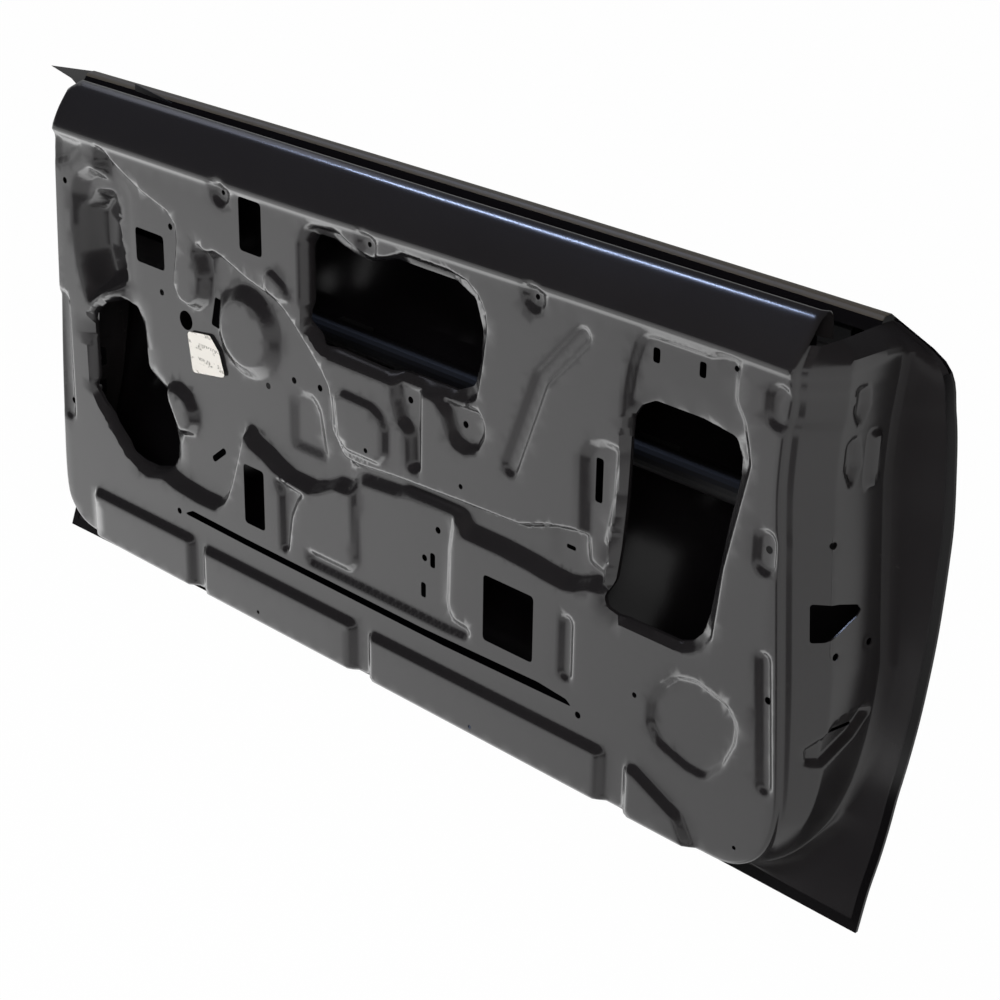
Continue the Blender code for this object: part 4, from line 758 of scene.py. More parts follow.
class PressedSurface:
    """The face as a fine grid of depths, softened as steel is when it is drawn over the die's edges."""

    def __init__(self, forms, settings):
        self.pitch = settings.grid_pitch
        self.low = np.array(surface_low)
        self.counts = (np.array(surface_size) / self.pitch).astype(int)
        axes = [self.low[i] + self.pitch * np.arange(self.counts[i]) for i in (0, 1)]
        points = np.stack(np.meshgrid(*axes, indexing="ij"), -1).reshape(-1, 2)
        depths = shoulder_depth(points)
        for form in forms:
            depths = form.press(points, depths)
        depths = depths.reshape(self.counts)
        self.depths = self.blurred(depths, settings.draw_radius)
        across = np.abs(np.diff(self.depths, 2, axis=0, prepend=0, append=0))
        upward = np.abs(np.diff(self.depths, 2, axis=1, prepend=0, append=0))
        bend = np.maximum(across, upward) / self.pitch ** 2
        self.bend = self.blurred(bend, settings.draw_radius)

    def blurred(self, values, radius):
        """A bell-shaped blur of this radius along both axes."""
        spread = radius / self.pitch
        reach = int(3 * spread) + 1
        weights = np.exp(-0.5 * (np.arange(-reach, reach + 1) / spread) ** 2)
        weights /= weights.sum()
        for axis in (0, 1):
            sides = [(reach, reach) if i == axis else (0, 0) for i in (0, 1)]
            padded = np.pad(values, sides, mode="edge")
            count = values.shape[axis]
            values = sum(w * np.take(padded, range(i, i + count), axis) for i, w in enumerate(weights))
        return values

    def read(self, table, points):
        """The table's values at points, straight between its nearest four."""
        place = (np.asarray(points) - self.low) / self.pitch
        place = np.clip(place, 0, self.counts - 1.001)
        i, j = place.astype(int).T
        s, t = (place - np.stack([i, j], 1)).T
        low = table[i, j] * (1 - s) + table[i + 1, j] * s
        high = table[i, j + 1] * (1 - s) + table[i + 1, j + 1] * s
        return low * (1 - t) + high * t

    def grid_points(self, spacing, least, most):
        """Points at this spacing where the bend is between these values."""
        axes = [np.arange(self.low[i], self.low[i] + self.pitch * self.counts[i], spacing) for i in (0, 1)]
        rows = np.stack(np.meshgrid(*axes, indexing="ij"), -1)
        rows[::2, :, 1] += spacing / 2
        rows = rows.reshape(-1, 2)
        bend = self.read(self.bend, rows)
        return rows[(bend >= least) & (bend < most)]


def skin_y(x, z):
    """Depth of the skin's middle surface."""
    v, u = z / panel_height, x / panel_length
    rows = np.array([row[:2] for row in skin_rows_shares] + [(belt_rear_shares[1], belt_depth_share)])
    section = curve_through(v, rows[:, 0], rows[:, 1])
    rear = (bow_rear_share - bow_middle_share) / bow_middle_share
    return skin_depth * section + skin_bow * (rear ** 2 - (u / bow_middle_share - 1) ** 2)


def skin_edges(v):
    """Front and rear edge of the skin at each height share."""
    rows = np.array(skin_rows_shares)
    return [curve_through(v, rows[:, 0], rows[:, i]) for i in (2, 3)]


def skin_outline():
    """The edge of the skin in plan, from the belt's front end down, round and up to its rear end."""
    heights = np.linspace(skin_rows_shares[0][0], skin_rows_shares[-1][0], outline_rows)
    front, rear = skin_edges(heights)
    return plan([belt_front_shares, *zip(front[::-1], heights[::-1]), *zip(rear, heights), belt_rear_shares])


def reach(point, direction, outline):
    """Distance from a point to an outline along a direction."""
    a, edge = outline, np.roll(outline, -1, 0) - outline
    cross = direction[0] * edge[:, 1] - direction[1] * edge[:, 0]
    cross = np.where(np.abs(cross) < 1e-12, np.nan, cross)
    offset = a - point
    along = (offset[:, 0] * edge[:, 1] - offset[:, 1] * edge[:, 0]) / cross
    on_edge = (offset[:, 0] * direction[1] - offset[:, 1] * direction[0]) / cross
    hits = along[(along > 0) & (on_edge >= -1e-9) & (on_edge <= 1 + 1e-9)]
    return hits.min() if len(hits) else math.inf


def thinned(points, gap):
    """The points with any that share a cell of this size with an earlier one left out."""
    cells = np.round(points / gap).astype(int)
    _, first = np.unique(cells, axis=0, return_index=True)
    return points[np.sort(first)]


def panel_plan(surface, flanged, plain, settings):
    """Triangles of the face, with its points close together where it bends."""
    sides = spaced(softened(plan(face_shares)), settings.edge_spacing, closed=False)
    outer = np.vstack([sides, [plan(roll_front_shares)]])
    along = np.arange(outer[:, 0].min(), outer[:, 0].max(), settings.edge_spacing * roll_step)
    rear, front = outer[[-2, -1], 0]
    half = settings.edge_spacing / 2
    top = along[(along > front + half) & (along < rear - half)][::-1]
    top = np.stack([top, crease_height(top) + roll_rise(top)], 1)
    outer = np.vstack([outer[:-1], top, outer[-1:]])
    rings = [inset(sides, gap * settings.edge_radius) for gap in lip_rings_shares]
    for hole in flanged:
        rings += [inset(hole, -gap * settings.edge_radius) for gap in lip_rings_shares]
    crease, rise = crease_height(along), roll_rise(along)
    rings += [np.stack([along, crease + share * rise], 1) for share in roll_rows_shares]
    spacings = [settings.edge_spacing * step for step in grid_steps]
    zones = zip(spacings, bend_steps, bend_steps[1:])
    loose = np.vstack([surface.grid_points(spacing, low, high) for spacing, low, high in zones])
    ring_zone = settings.edge_radius * lip_rings_shares[-1] + ring_clearance
    keep = edge_distance(loose) > ring_zone
    lowest = roll_rows_shares[0] - roll_clearance_share
    keep &= loose[:, 1] < crease_height(loose[:, 0]) + lowest * roll_rise(loose[:, 0])
    for hole in flanged:
        keep &= inside(loose, hole) < -ring_zone
    loose = np.vstack(rings + [thinned(loose[keep], grid_clearance)])
    holes = flanged + plain
    keep = inside(loose, outer) > edge_clearance
    for hole in holes:
        keep &= inside(loose, hole) < -hole_clearance
    loose = loose[keep]
    points = [Vector(p) for p in outer]
    edges = [(i, (i + 1) % len(outer)) for i in range(len(outer))]
    for hole in holes:
        first = len(points)
        points += [Vector(p) for p in hole]
        edges += [(first + i, first + (i + 1) % len(hole)) for i in range(len(hole))]
    points += [Vector(p) for p in loose]
    found, _, faces, *_ = delaunay_2d_cdt(points, edges, [], 0, weld_distance)
    found, faces = np.array([tuple(p) for p in found]), np.array(faces)
    centres = found[faces].mean(axis=1)
    keep = inside(centres, outer) > 0
    for hole in holes:
        keep &= inside(centres, hole) < 0
    return found, faces[keep]


def boundary_chain(bm, start, end):
    """Boundary vertices from the one nearest start to the one nearest end, going down and round."""
    open_edges = {}
    for edge in bm.edges:
        if len(edge.link_faces) == 1:
            for vert in edge.verts:
                open_edges.setdefault(vert, []).append(edge.other_vert(vert))

    def nearest(place):
        return min(open_edges, key=lambda vert: (vert.co.x - place[0]) ** 2 + (vert.co.z - place[1]) ** 2)

    first, last = nearest(start), nearest(end)
    chain = [first, min(open_edges[first], key=lambda vert: vert.co.z)]
    while chain[-1] is not last:
        chain.append(next(vert for vert in open_edges[chain[-1]] if vert is not chain[-2]))
    return chain


def strip(bm, rows):
    """Quads between successive rows of vertices."""
    for upper, lower in zip(rows, rows[1:]):
        for i in range(len(upper) - 1):
            bm.faces.new((upper[i], upper[i + 1], lower[i + 1], lower[i]))


def station_values(chain):
    """Direction and folds at each vertex of the chain, read between the stations along its length."""
    places = np.array([(vert.co.x, vert.co.z) for vert in chain])
    run = np.concatenate([[0], np.cumsum(np.hypot(*np.diff(places, axis=0).T))])
    stops = [run[np.argmin(np.hypot(*(places - plan(s[0])).T))] for s in stations_shares]
    angles = np.interp(run, stops, [s[1] for s in stations_shares])
    folds = np.array([s[2] for s in stations_shares])
    steps = [np.interp(run, stops, folds[:, k, 0]) * skin_depth for k in range(folds.shape[1])]
    shares = [np.interp(run, stops, folds[:, k, 1]) for k in range(folds.shape[1])]
    return places, np.radians(angles), np.array(steps), np.array(shares)


def full_depth():
    """Depth of a full return wall, which stops at the adhesive on the skin."""
    return skin_depth - (skin_sheet + inner_sheet) / 2 - hem_adhesive


def bent_line(points):
    """A polyline with its corners rounded, at a fixed number of points."""
    points = np.asarray(points, float)
    starts, ends = [points[0]], []
    arcs = []
    for before, corner, after, radius in zip(points, points[1:], points[2:], fold_radii):
        into, on = before - corner, after - corner
        lengths = np.linalg.norm(into), np.linalg.norm(on)
        cut = min(radius, lengths[0] * fold_cut_share, lengths[1] * fold_cut_share)
        start = corner + into / max(lengths[0], 1e-9) * cut
        end = corner + on / max(lengths[1], 1e-9) * cut
        ends.append(start)
        starts.append(end)
        arcs.append((start, corner, end))
    ends.append(points[-1])
    out = []
    for i, (a, b) in enumerate(zip(starts, ends)):
        for j in range(wall_rows[i]):
            out.append(a + (b - a) * j / wall_rows[i])
        if i < len(arcs):
            start, corner, end = arcs[i]
            for j in range(fold_rows):
                t = j / fold_rows
                out.append((1 - t) ** 2 * start + 2 * t * (1 - t) * corner + t * t * end)
    out.append(points[-1])
    return np.array(out)


def add_return_walls(bm):
    """Front, bottom and rear walls of the inner panel, folded back to the hem of the skin."""
    chain = boundary_chain(bm, plan(stations_shares[0][0]), plan(stations_shares[-1][0]))
    places, angles, steps, shares = station_values(chain)
    outline = skin_outline()
    hem_offset = skin_depth - full_depth()
    full = full_depth()
    columns = []
    for i, vert in enumerate(chain):
        out = np.array([math.cos(angles[i]), math.sin(angles[i])])
        hem_edge = reach(places[i], out, outline) - hem_lip * hem_gap_share
        hem_start = hem_edge - hem_lip
        local = (skin_y(*places[i]) - hem_offset) / full
        line = [(vert.co.x, vert.co.y, vert.co.z)]
        for k, (step, share) in enumerate(zip(steps[:, i], shares[:, i])):
            scale = local if share > hem_row_share else min(local / full_wall_share, 1)
            furthest = hem_start - hem_lip * row_spread_share * (len(steps) - k)
            place = places[i] + out * min(step * scale, furthest)
            depth = vert.co.y + share * (full * scale - vert.co.y)
            line.append((place[0], min(depth, skin_y(*place) - hem_offset), place[1]))
        for distance in (hem_start, hem_edge):
            place = places[i] + out * distance
            line.append((place[0], skin_y(*place) - hem_offset, place[1]))
        columns.append(bent_line(line))
    rows = [chain]
    for points in zip(*(column[1:] for column in columns)):
        rows.append([bm.verts.new(point) for point in points])
    strip(bm, rows)


def end_wall_edge():
    """Where the end wall's flat field starts, measured along the door."""
    return plan(face_shares[latch_point])[0] + rear_folds_shares[1][0] * skin_depth


def press_end_wall(bm):
    """Divides the end wall finely and presses its pockets, bump and boat-shaped recess."""
    low, high = wall_plan(end_wall_shares)
    edge = end_wall_edge()

    def in_field(place):
        return place.x > edge and low[0] < place.y < high[0] and low[1] < place.z < high[1]

    faces = [face for face in bm.faces if in_field(face.calc_center_median())]
    edges = list({e for face in faces for e in face.edges})
    bmesh.ops.subdivide_edges(bm, edges=edges, cuts=1, use_grid_fill=True)
    forms = []
    for shape, depth in end_forms_shares:
        forms.append(Form(rounded(wall_plan(shape), hole_radius), end_form_wall, depth, add=True))
    for centre in latch_screws_shares:
        forms.append(Form(ring(wall_plan(centre), dimple_radius, bolt_sides), dimple_wall, -dimple_depth, add=True))
    verts = [vert for vert in bm.verts if in_field(vert.co)]
    points = np.array([(v.co.y, v.co.z) for v in verts])
    moves = np.zeros(len(points))
    for form in forms:
        moves = form.press(points, moves)
    for vert, move in zip(verts, moves):
        vert.co.x += move


def add_roll_flange(bm):
    """The flange behind the belt roll, which turns down into the window slot."""
    left, right = plan(roll_front_shares), plan(face_shares[-1])
    top = [v for v in bm.verts if any(len(e.link_faces) == 1 for e in v.link_edges)]
    slope = (right[1] - left[1]) / (right[0] - left[0])
    top = [v for v in top if abs(v.co.z - left[1] - slope * (v.co.x - left[0])) < match_distance]
    top.sort(key=lambda v: v.co.x)
    rows = [top]
    for back, down in roll_flange_turns:
        turn = Vector((0, back * roll_thickness, -down * roll_flange))
        rows.append([bm.verts.new(v.co + turn) for v in top])
    strip(bm, rows)


def add_hole_flanges(bm, outlines):
    """The edges of the large openings, turned away from the cabin."""
    edges = [edge for edge in bm.edges if len(edge.link_faces) == 1]
    middles = np.array([((e.verts[0].co.x + e.verts[1].co.x) / 2, (e.verts[0].co.z + e.verts[1].co.z) / 2)
                        for e in edges])
    chosen = np.zeros(len(edges), bool)
    for outline in outlines:
        chosen |= np.abs(inside(middles, outline)) < match_distance
    made = bmesh.ops.extrude_edge_only(bm, edges=[e for e, c in zip(edges, chosen) if c])["geom"]
    for vert in made:
        if isinstance(vert, bmesh.types.BMVert):
            vert.co.y += hole_flange


def linked_object(name, bm):
    """A new object in the scene, made from a bmesh that is then freed."""
    mesh = bpy.data.meshes.new(name)
    bm.to_mesh(mesh)
    bm.free()
    obj = bpy.data.objects.new(name, mesh)
    bpy.context.scene.collection.objects.link(obj)
    return obj


def finished(name, bm, material, nodes):
    """A smooth-shaded mesh object in the record's frame, riding on the root in place of these nodes."""
    bmesh.ops.translate(bm, verts=bm.verts, vec=-hinge_face)
    obj = linked_object(name, bm)
    obj.data.materials.append(material)
    obj.data.shade_smooth()
    obj.data.set_sharp_from_angle(angle=sharp_angle)
    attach(obj, "root")
    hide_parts(*nodes)
    return obj


def thicken(obj, thickness):
    """Sheet of this thickness, half of it to each side of the surface."""
    solid = obj.modifiers.new("Sheet", "SOLIDIFY")
    solid.thickness = thickness
    solid.offset = 0.0


def apply_modifiers(obj):
    """The evaluated mesh in place of the base mesh, with no modifier left."""
    evaluated = obj.evaluated_get(bpy.context.evaluated_depsgraph_get())
    mesh = bpy.data.meshes.new_from_object(evaluated)
    obj.modifiers.clear()
    old = obj.data
    obj.data = mesh
    bpy.data.meshes.remove(old)


def cut_with(obj, bm, name):
    """Takes a closed shape, in the door's coordinates, away from a piece."""
    bmesh.ops.translate(bm, verts=bm.verts, vec=-hinge_face)
    bmesh.ops.recalc_face_normals(bm, faces=bm.faces)
    tool = linked_object(name, bm)
    mesh = tool.data
    boolean = obj.modifiers.new(name, "BOOLEAN")
    boolean.object = tool
    apply_modifiers(obj)
    bpy.data.objects.remove(tool)
    bpy.data.meshes.remove(mesh)


def prism(bm, outline, start, along, matrix=Matrix()):
    """A closed prism: outline points (a, b) in the matrix's Y and Z, from start to start + along on its X."""
    low = [bm.verts.new(matrix @ Vector((start, a, b))) for a, b in outline]
    high = [bm.verts.new(matrix @ Vector((start + along, a, b))) for a, b in outline]
    count = len(outline)
    bm.faces.new(low)
    bm.faces.new(high[::-1])
    for i in range(count):
        bm.faces.new((low[i], high[i], high[(i + 1) % count], low[(i + 1) % count]))


def wall_frame(v, depth_share):
    """Frame on the front wall: X out of the door towards its hinges, Z up the wall, at a height share."""
    top, low = (plan(face_shares[i]) for i in hinge_wall_points)
    height = v * panel_height
    x = np.interp(height, [low[1], top[1]], [low[0], top[0]])
    step, share = front_folds_shares[2]
    back = Vector((-step * skin_depth, share * full_depth(), 0)).normalized()
    up = Vector((top[0] - low[0], 0, top[1] - low[1])).normalized()
    out = up.cross(back).normalized()
    frame_matrix = Matrix((out, up.cross(out), up)).transposed().to_4x4()
    frame_matrix.translation = Vector((x, 0, height)) + back * (depth_share * skin_depth)
    return frame_matrix


def bolt_cutters(bm, place, pitch, radius, sides):
    """Two round cutters, one above and one below the middle of a place on the front wall."""
    for side in (-1, 1):
        outline = ring(np.array([0, side * pitch / 2]), radius, sides)
        prism(bm, outline, cutter_start, cutter_length, place)


def wall_cutters(bm):
    """Bolt, check arm, latch and screw holes through the front and rear walls."""
    for share in (upper_hinge_share, lower_hinge_share):
        bolt_cutters(bm, wall_frame(share, hinge_depth_share), hinge_bolt_pitch, hinge_bolt_hole, bolt_sides)
    place = wall_frame(check_arm_share, hinge_depth_share)
    half_a, half_b = check_hole_width / 2, check_hole_height / 2
    slot = rounded([(-half_a, -half_b), (half_a, -half_b), (half_a, half_b), (-half_a, half_b)], slot_radius)
    prism(bm, slot, cutter_start, cutter_length, place)
    bolt_cutters(bm, place, check_bolt_pitch, screw_hole, hole_sides)
    prism(bm, rounded(wall_plan(latch_hole_shares), slot_radius, 4), end_wall_edge(), latch_cutter)
    start = panel_length * end_start_share
    for centre in wall_plan(latch_screws_shares):
        prism(bm, ring(centre, screw_hole, latch_screw_sides), start, end_overrun)
    prism(bm, stroke(wall_plan(end_slot_shares), end_slot, 6), start, end_overrun)


def hex_colour(code):
    """A linear RGBA colour from an sRGB hex value."""
    parts = [int(code[i:i + 2], 16) / 255 for i in (0, 2, 4)]
    return [c / 12.92 if c <= 0.04045 else ((c + 0.055) / 1.055) ** 2.4 for c in parts] + [1.0]


def scaled(colour, factor, lift=0.0):
    """A colour made lighter or darker by a factor."""
    return [min(c * factor + lift, 1) for c in colour[:3]] + [1.0]


def grey(level):
    return (level, level, level, 1.0)


def feed(tree, node, inputs):
    """Gives a node's inputs their values, or links where a socket is given."""
    for key, value in inputs.items():
        if isinstance(value, bpy.types.NodeSocket):
            tree.links.new(value, node.inputs[key])
        else:
            node.inputs[key].default_value = value


def add_node(tree, kind, inputs=None, **settings):
    """One node with its settings, its own input values and what feeds them."""
    made = tree.nodes.new(kind)
    for key, value in settings.items():
        setattr(made, key, value)
    feed(tree, made, inputs or {})
    return made


def noise(tree, place, scale, detail, roughness=0.5):
    inputs = {"Vector": place, "Scale": scale, "Detail": detail, "Roughness": roughness}
    return add_node(tree, "ShaderNodeTexNoise", inputs).outputs["Fac"]


def stretched(tree, place, scale, turn=(0.0, 0.0, 0.0)):
    inputs = {"Vector": place, "Rotation": turn, "Scale": scale}
    return add_node(tree, "ShaderNodeMapping", inputs).outputs[0]


def combined(tree, operation, *terms):
    """Sockets and numbers put through one operation."""
    return add_node(tree, "ShaderNodeMath", dict(enumerate(terms)), operation=operation).outputs[0]


def measured(tree, operation, vector, other):
    """A number worked out from two vectors."""
    return add_node(tree, "ShaderNodeVectorMath", {0: vector, 1: other}, operation=operation).outputs["Value"]


def ranged(tree, value, low, high, start=0.0, end=1.0, kind="LINEAR"):
    """A value between start and end turned into one between low and high."""
    inputs = {"Value": value, "From Min": start, "From Max": end, "To Min": low, "To Max": high}
    return add_node(tree, "ShaderNodeMapRange", inputs, interpolation_type=kind).outputs[0]


def blended(tree, share, first, second):
    inputs = {"Factor": share, "A": first, "B": second}
    return add_node(tree, "ShaderNodeMix", inputs, data_type="RGBA").outputs["Result"]


def relief(tree, height, strength, distance, below=None):
    """A bump, on top of another one where it is given."""
    inputs = {"Height": height, "Strength": strength, "Distance": distance}
    if below is not None:
        inputs["Normal"] = below
    return add_node(tree, "ShaderNodeBump", inputs).outputs[0]


def ramp(tree, source, stops):
    """A colour ramp through (place, colour) stops."""
    made = add_node(tree, "ShaderNodeValToRGB", {"Fac": source})
    elements = made.color_ramp.elements
    while len(elements) > 1:
        elements.remove(elements[-1])
    for i, (position, colour) in enumerate(stops):
        element = elements[0] if i == 0 else elements.new(position)
        element.position = position
        element.color = colour
    return made.outputs["Color"]


def threshold(tree, source, start, end):
    """Black below the start, white above the end."""
    return ramp(tree, source, [(start, grey(0.0)), (end, grey(1.0))])


def new_material(name):
    material = bpy.data.materials.new(name)
    material.use_nodes = True
    tree = material.node_tree
    tree.nodes.clear()
    shader = add_node(tree, "ShaderNodeBsdfPrincipled")
    add_node(tree, "ShaderNodeOutputMaterial", {"Surface": shader.outputs[0]})
    place = add_node(tree, "ShaderNodeTexCoord").outputs["Object"]
    return material, tree, shader, place


def satin_e_coat(name, base, rough, scuffs, film):
    """Cathodic dip primer on deep-drawn steel: a thin dark film with a soft sheen, faint orange peel,
    cloudy drying marks, dust specks and pale rub marks where panels were stacked; a painted shade dulls it deep in
    the door."""
    material, tree, shader, place = new_material(name)
    cloud = noise(tree, place, 7.0, 5.0, 0.55)
    speck = add_node(tree, "ShaderNodeTexVoronoi", {"Vector": place, "Scale": 95.0, "Randomness": 1.0})
    dust = ramp(tree, speck.outputs["Distance"], [(0.0, grey(1.0)), (0.05, grey(0.0))])
    few = threshold(tree, noise(tree, place, 26.0, 1.0), 0.60, 0.66)
    streaks = noise(tree, stretched(tree, place, (5.0, 60.0, 90.0), (0.0, 0.22, 0.0)), 1.0, 6.0, 0.62)
    rub = threshold(tree, streaks, 0.64, 0.74)
    patch = threshold(tree, noise(tree, place, 4.5, 2.0), 0.55, 0.68)
    rub = combined(tree, "MULTIPLY", combined(tree, "MULTIPLY", rub, patch), scuffs)
    marks = combined(tree, "MAXIMUM", rub, combined(tree, "MULTIPLY", dust, few))
    clean = blended(tree, cloud, scaled(base, 0.90), scaled(base, 1.10))
    sheen = ranged(tree, cloud, rough - 0.05, rough + 0.06)
    peel = relief(tree, noise(tree, place, 420.0, 2.0), 0.05, 0.0006)
    depth = add_node(tree, "ShaderNodeSeparateXYZ", {"Vector": place}).outputs["Y"]
    # Painted shade: the gloss and film fade between these depths, darkening the deep folds near the skin
    start, end = (share * skin_depth - hinge_face.y for share in painted_shade_depth_shares)
    feed(tree, shader, {
        "Base Color": blended(tree, marks, clean, scaled(base, 2.6, 0.02)),
        "Roughness": combined(tree, "MULTIPLY_ADD", marks, 0.16, sheen),
        "IOR": 1.56,
        "Specular IOR Level": ranged(tree, depth, 0.5, 0.2, start, end, "SMOOTHSTEP"),
        "Coat Weight": ranged(tree, depth, film, 0.0, start, end, "SMOOTHSTEP"),
        "Coat Roughness": rough,
        "Coat IOR": 1.5,
        "Normal": relief(tree, noise(tree, place, 16.0, 1.0), 0.10, 0.003, peel),
    })
    return material


def plain_finish(name, base, rough, scale, depth):
    """A dull finish whose colour, sheen and relief vary with one grain: painted reflection, phosphate and painted
    shade, mastic.
    """
    material, tree, shader, place = new_material(name)
    grain = noise(tree, place, scale, 6.0)
    feed(tree, shader, {
        "Base Color": blended(tree, grain, scaled(base, 0.85), scaled(base, 1.15)),
        "Roughness": ranged(tree, grain, rough - 0.08, rough + 0.08),
        "Normal": relief(tree, grain, 0.3, depth),
    })
    return material


def printed_label(name, base, ink):
    """Off-white label paper with rows of small grey print, too fine to read."""
    material, tree, shader, place = new_material(name)
    waves = {"Vector": place, "Scale": 1 / (20 * label_row), "Distortion": 0.0}
    rows = add_node(tree, "ShaderNodeTexWave", waves, bands_direction="Z").outputs["Fac"]
    rows = threshold(tree, rows, 0.50, 0.62)
    letters = threshold(tree, noise(tree, stretched(tree, place, (1300.0, 1.0, 160.0)), 1.0, 2.0), 0.47, 0.55)
    words = threshold(tree, noise(tree, stretched(tree, place, (70.0, 1.0, 130.0)), 1.0, 1.0), 0.48, 0.52)
    ink_share = combined(tree, "MULTIPLY", combined(tree, "MULTIPLY", rows, letters), words)
    feed(tree, shader, {
        "Base Color": blended(tree, ink_share, base, ink),
        "Roughness": 0.7,
        "Normal": relief(tree, noise(tree, place, 700.0, 4.0), 0.2, 0.0001),
    })
    return material


def studio_white(name):
    """Matt white paper: seen as white by the camera and in mirrors, and still taking a soft shadow."""
    material, tree, shader, place = new_material(name)
    feed(tree, shader, {
        "Base Color": hex_colour("E6E6E6"),
        "Roughness": 0.9,
        "Normal": relief(tree, noise(tree, place, 300.0, 3.0), 0.05, 0.0005),
    })
    path = add_node(tree, "ShaderNodeLightPath")
    camera = path.outputs["Is Camera Ray"]
    seen = combined(tree, "MAXIMUM", camera, path.outputs["Is Glossy Ray"])
    seen = combined(tree, "MAXIMUM", seen, path.outputs["Is Transmission Ray"])
    share = combined(tree, "MULTIPLY", seen, white_share)
    from_paper = measured(tree, "DISTANCE", place, bright_floor_place)
    sheet = ranged(tree, from_paper, 1.0, 0.6, 0.8, 3.6, "SMOOTHSTEP")
    from_shade = measured(tree, "DISTANCE", place, dark_floor_place)
    shade = ranged(tree, from_shade, 0.1, 1.0, 0.7, 1.7, "SMOOTHSTEP")
    level = combined(tree, "MAXIMUM", combined(tree, "MULTIPLY", sheet, shade), camera)
    glow = add_node(tree, "ShaderNodeEmission", {"Color": hex_colour("FFFFFF"), "Strength": level})
    mix = add_node(tree, "ShaderNodeMixShader", {0: share, 1: shader.outputs[0], 2: glow.outputs[0]})
    end = next(node for node in tree.nodes if node.type == "OUTPUT_MATERIAL")
    feed(tree, end, {"Surface": mix.outputs[0]})
    return material


class PanelSettings(bpy.types.PropertyGroup):
    grid_pitch: FloatProperty(
        name="Grid pitch", description="Pitch of the grid that the depths are worked out on",
        default=0.0015, min=0.0008, unit="LENGTH")
    draw_radius: FloatProperty(
        name="Draw radius", description="How far the drawn steel softens the die's edges",
        default=0.0016, min=0.0005, unit="LENGTH")
    edge_spacing: FloatProperty(
        name="Edge spacing", description="Distance between points along the face's edge",
        default=0.0065, min=0.003, unit="LENGTH")
    edge_radius: FloatProperty(
        name="Edge radius", description="Bend radius of the face's edges and of the lips",
        default=0.0045, min=0.001, unit="LENGTH")


class SkinSettings(bpy.types.PropertyGroup):
    rows: IntProperty(name="Rows", description="Rows of faces up the skin", default=64, min=12)
    columns: IntProperty(name="Columns", description="Columns of faces along the skin", default=90, min=12)


class FinishSettings(bpy.types.PropertyGroup):
    panel_colour: StringProperty(
        name="Panel colour", description="Colour of the satin e-coat, as an sRGB hex value", default="1E1D1F")
    skin_colour: StringProperty(
        name="Skin colour", description="Colour of the black e-coat, as an sRGB hex value", default="0A090B")
    panel_roughness: FloatProperty(
        name="Panel roughness", description="Roughness of the satin e-coat",
        default=0.21, min=0.05, max=1.0, subtype="FACTOR")
    skin_roughness: FloatProperty(
        name="Skin roughness", description="Roughness of the black e-coat",
        default=0.17, min=0.05, max=1.0, subtype="FACTOR")


class StageSettings(bpy.types.PropertyGroup):
    key_power: FloatProperty(
        name="Key power", description="Power of the large soft lamp", default=100.0, min=0.0, unit="POWER")
    strip_power: FloatProperty(
        name="Strip power", description="Power of the long lamp behind the belt roll",
        default=14.0, min=0.0, unit="POWER")
    low_power: FloatProperty(
        name="Low power", description="Power of the soft lamp below the door",
        default=9.0, min=0.0, unit="POWER")
    ceiling_level: FloatProperty(
        name="Ceiling level", description="Brightness of the studio above the lamps", default=0.018, min=0.0)
    horizon_level: FloatProperty(
        name="Horizon level", description="Brightness of the studio at the horizon", default=0.7, min=0.0)
    floor_drop: FloatProperty(
        name="Floor drop", description="Height of the door above the floor",
        default=0.9, min=0.0, unit="LENGTH")


def finishes():
    """The materials, made once and then found by name."""
    settings = bpy.context.scene.door_finish
    if bpy.data.materials.get(satin_coat) is None:
        satin_e_coat(satin_coat, hex_colour(settings.panel_colour), settings.panel_roughness, 0.5, 0.7)
        satin_e_coat(gloss_coat, hex_colour(settings.skin_colour), settings.skin_roughness, 0.25, 0.0)
        # Painted reflection: olive-grey for the top of the belt fold
        plain_finish(belt_fold_painted_reflection, hex_colour("443F36"), 0.5, 160.0, 0.0001)
        # Near black: painted shade on the beam and the parts deep in the door
        plain_finish(phosphate_and_painted_shade, hex_colour("0B0B0D"), 0.6, 300.0, 0.0002)
        plain_finish(mastic, hex_colour("151516"), 0.8, 120.0, 0.001)
        printed_label(paper, hex_colour("F5F3EE"), hex_colour("8C8A84"))
    return bpy.data.materials


panel_nodes = ("inner_panel", "inner_panel_front_wall", "inner_panel_bottom_wall", "inner_panel_latch_wall")


class DOORSHELL_OT_inner_panel(bpy.types.Operator):
    """Build the pressed inner panel with its reliefs, holes, belt roll and return walls"""
    bl_idname = "doorshell.inner_panel"
    bl_label = "Inner panel"

    def execute(self, context):
        settings = context.scene.door_panel
        forms, flanged, plain = pressed_forms(), flanged_holes(), plain_holes()
        surface = PressedSurface(forms, settings)
        points, faces = panel_plan(surface, flanged, plain, settings)
        depths = surface.read(surface.depths, points)
        blend = np.clip(roll_share(points) / roll_blend_share - 1, 0, 1)
        depths += blend * (shoulder_depth(points) - depths)
        depths += edge_roll(points, settings.edge_radius)
        depths += lip_depth(points, flanged, settings.edge_radius)
        bm = bmesh.new()
        verts = [bm.verts.new((x, depth, z)) for (x, z), depth in zip(points, depths)]
        for face in faces:
            bm.faces.new([verts[i] for i in face])
        bmesh.ops.delete(bm, geom=[v for v in bm.verts if not v.link_faces], context="VERTS")
        add_hole_flanges(bm, flanged)
        add_return_walls(bm)
        press_end_wall(bm)
        add_roll_flange(bm)
        bmesh.ops.recalc_face_normals(bm, faces=bm.faces)
        panel = finished("pressed_inner_panel", bm, finishes()[satin_coat], panel_nodes)
        thicken(panel, inner_sheet)
        tools = bmesh.new()
        wall_cutters(tools)
        cut_with(panel, tools, "wall_holes")
        panel.data.set_sharp_from_angle(angle=sharp_angle)
        return {"FINISHED"}


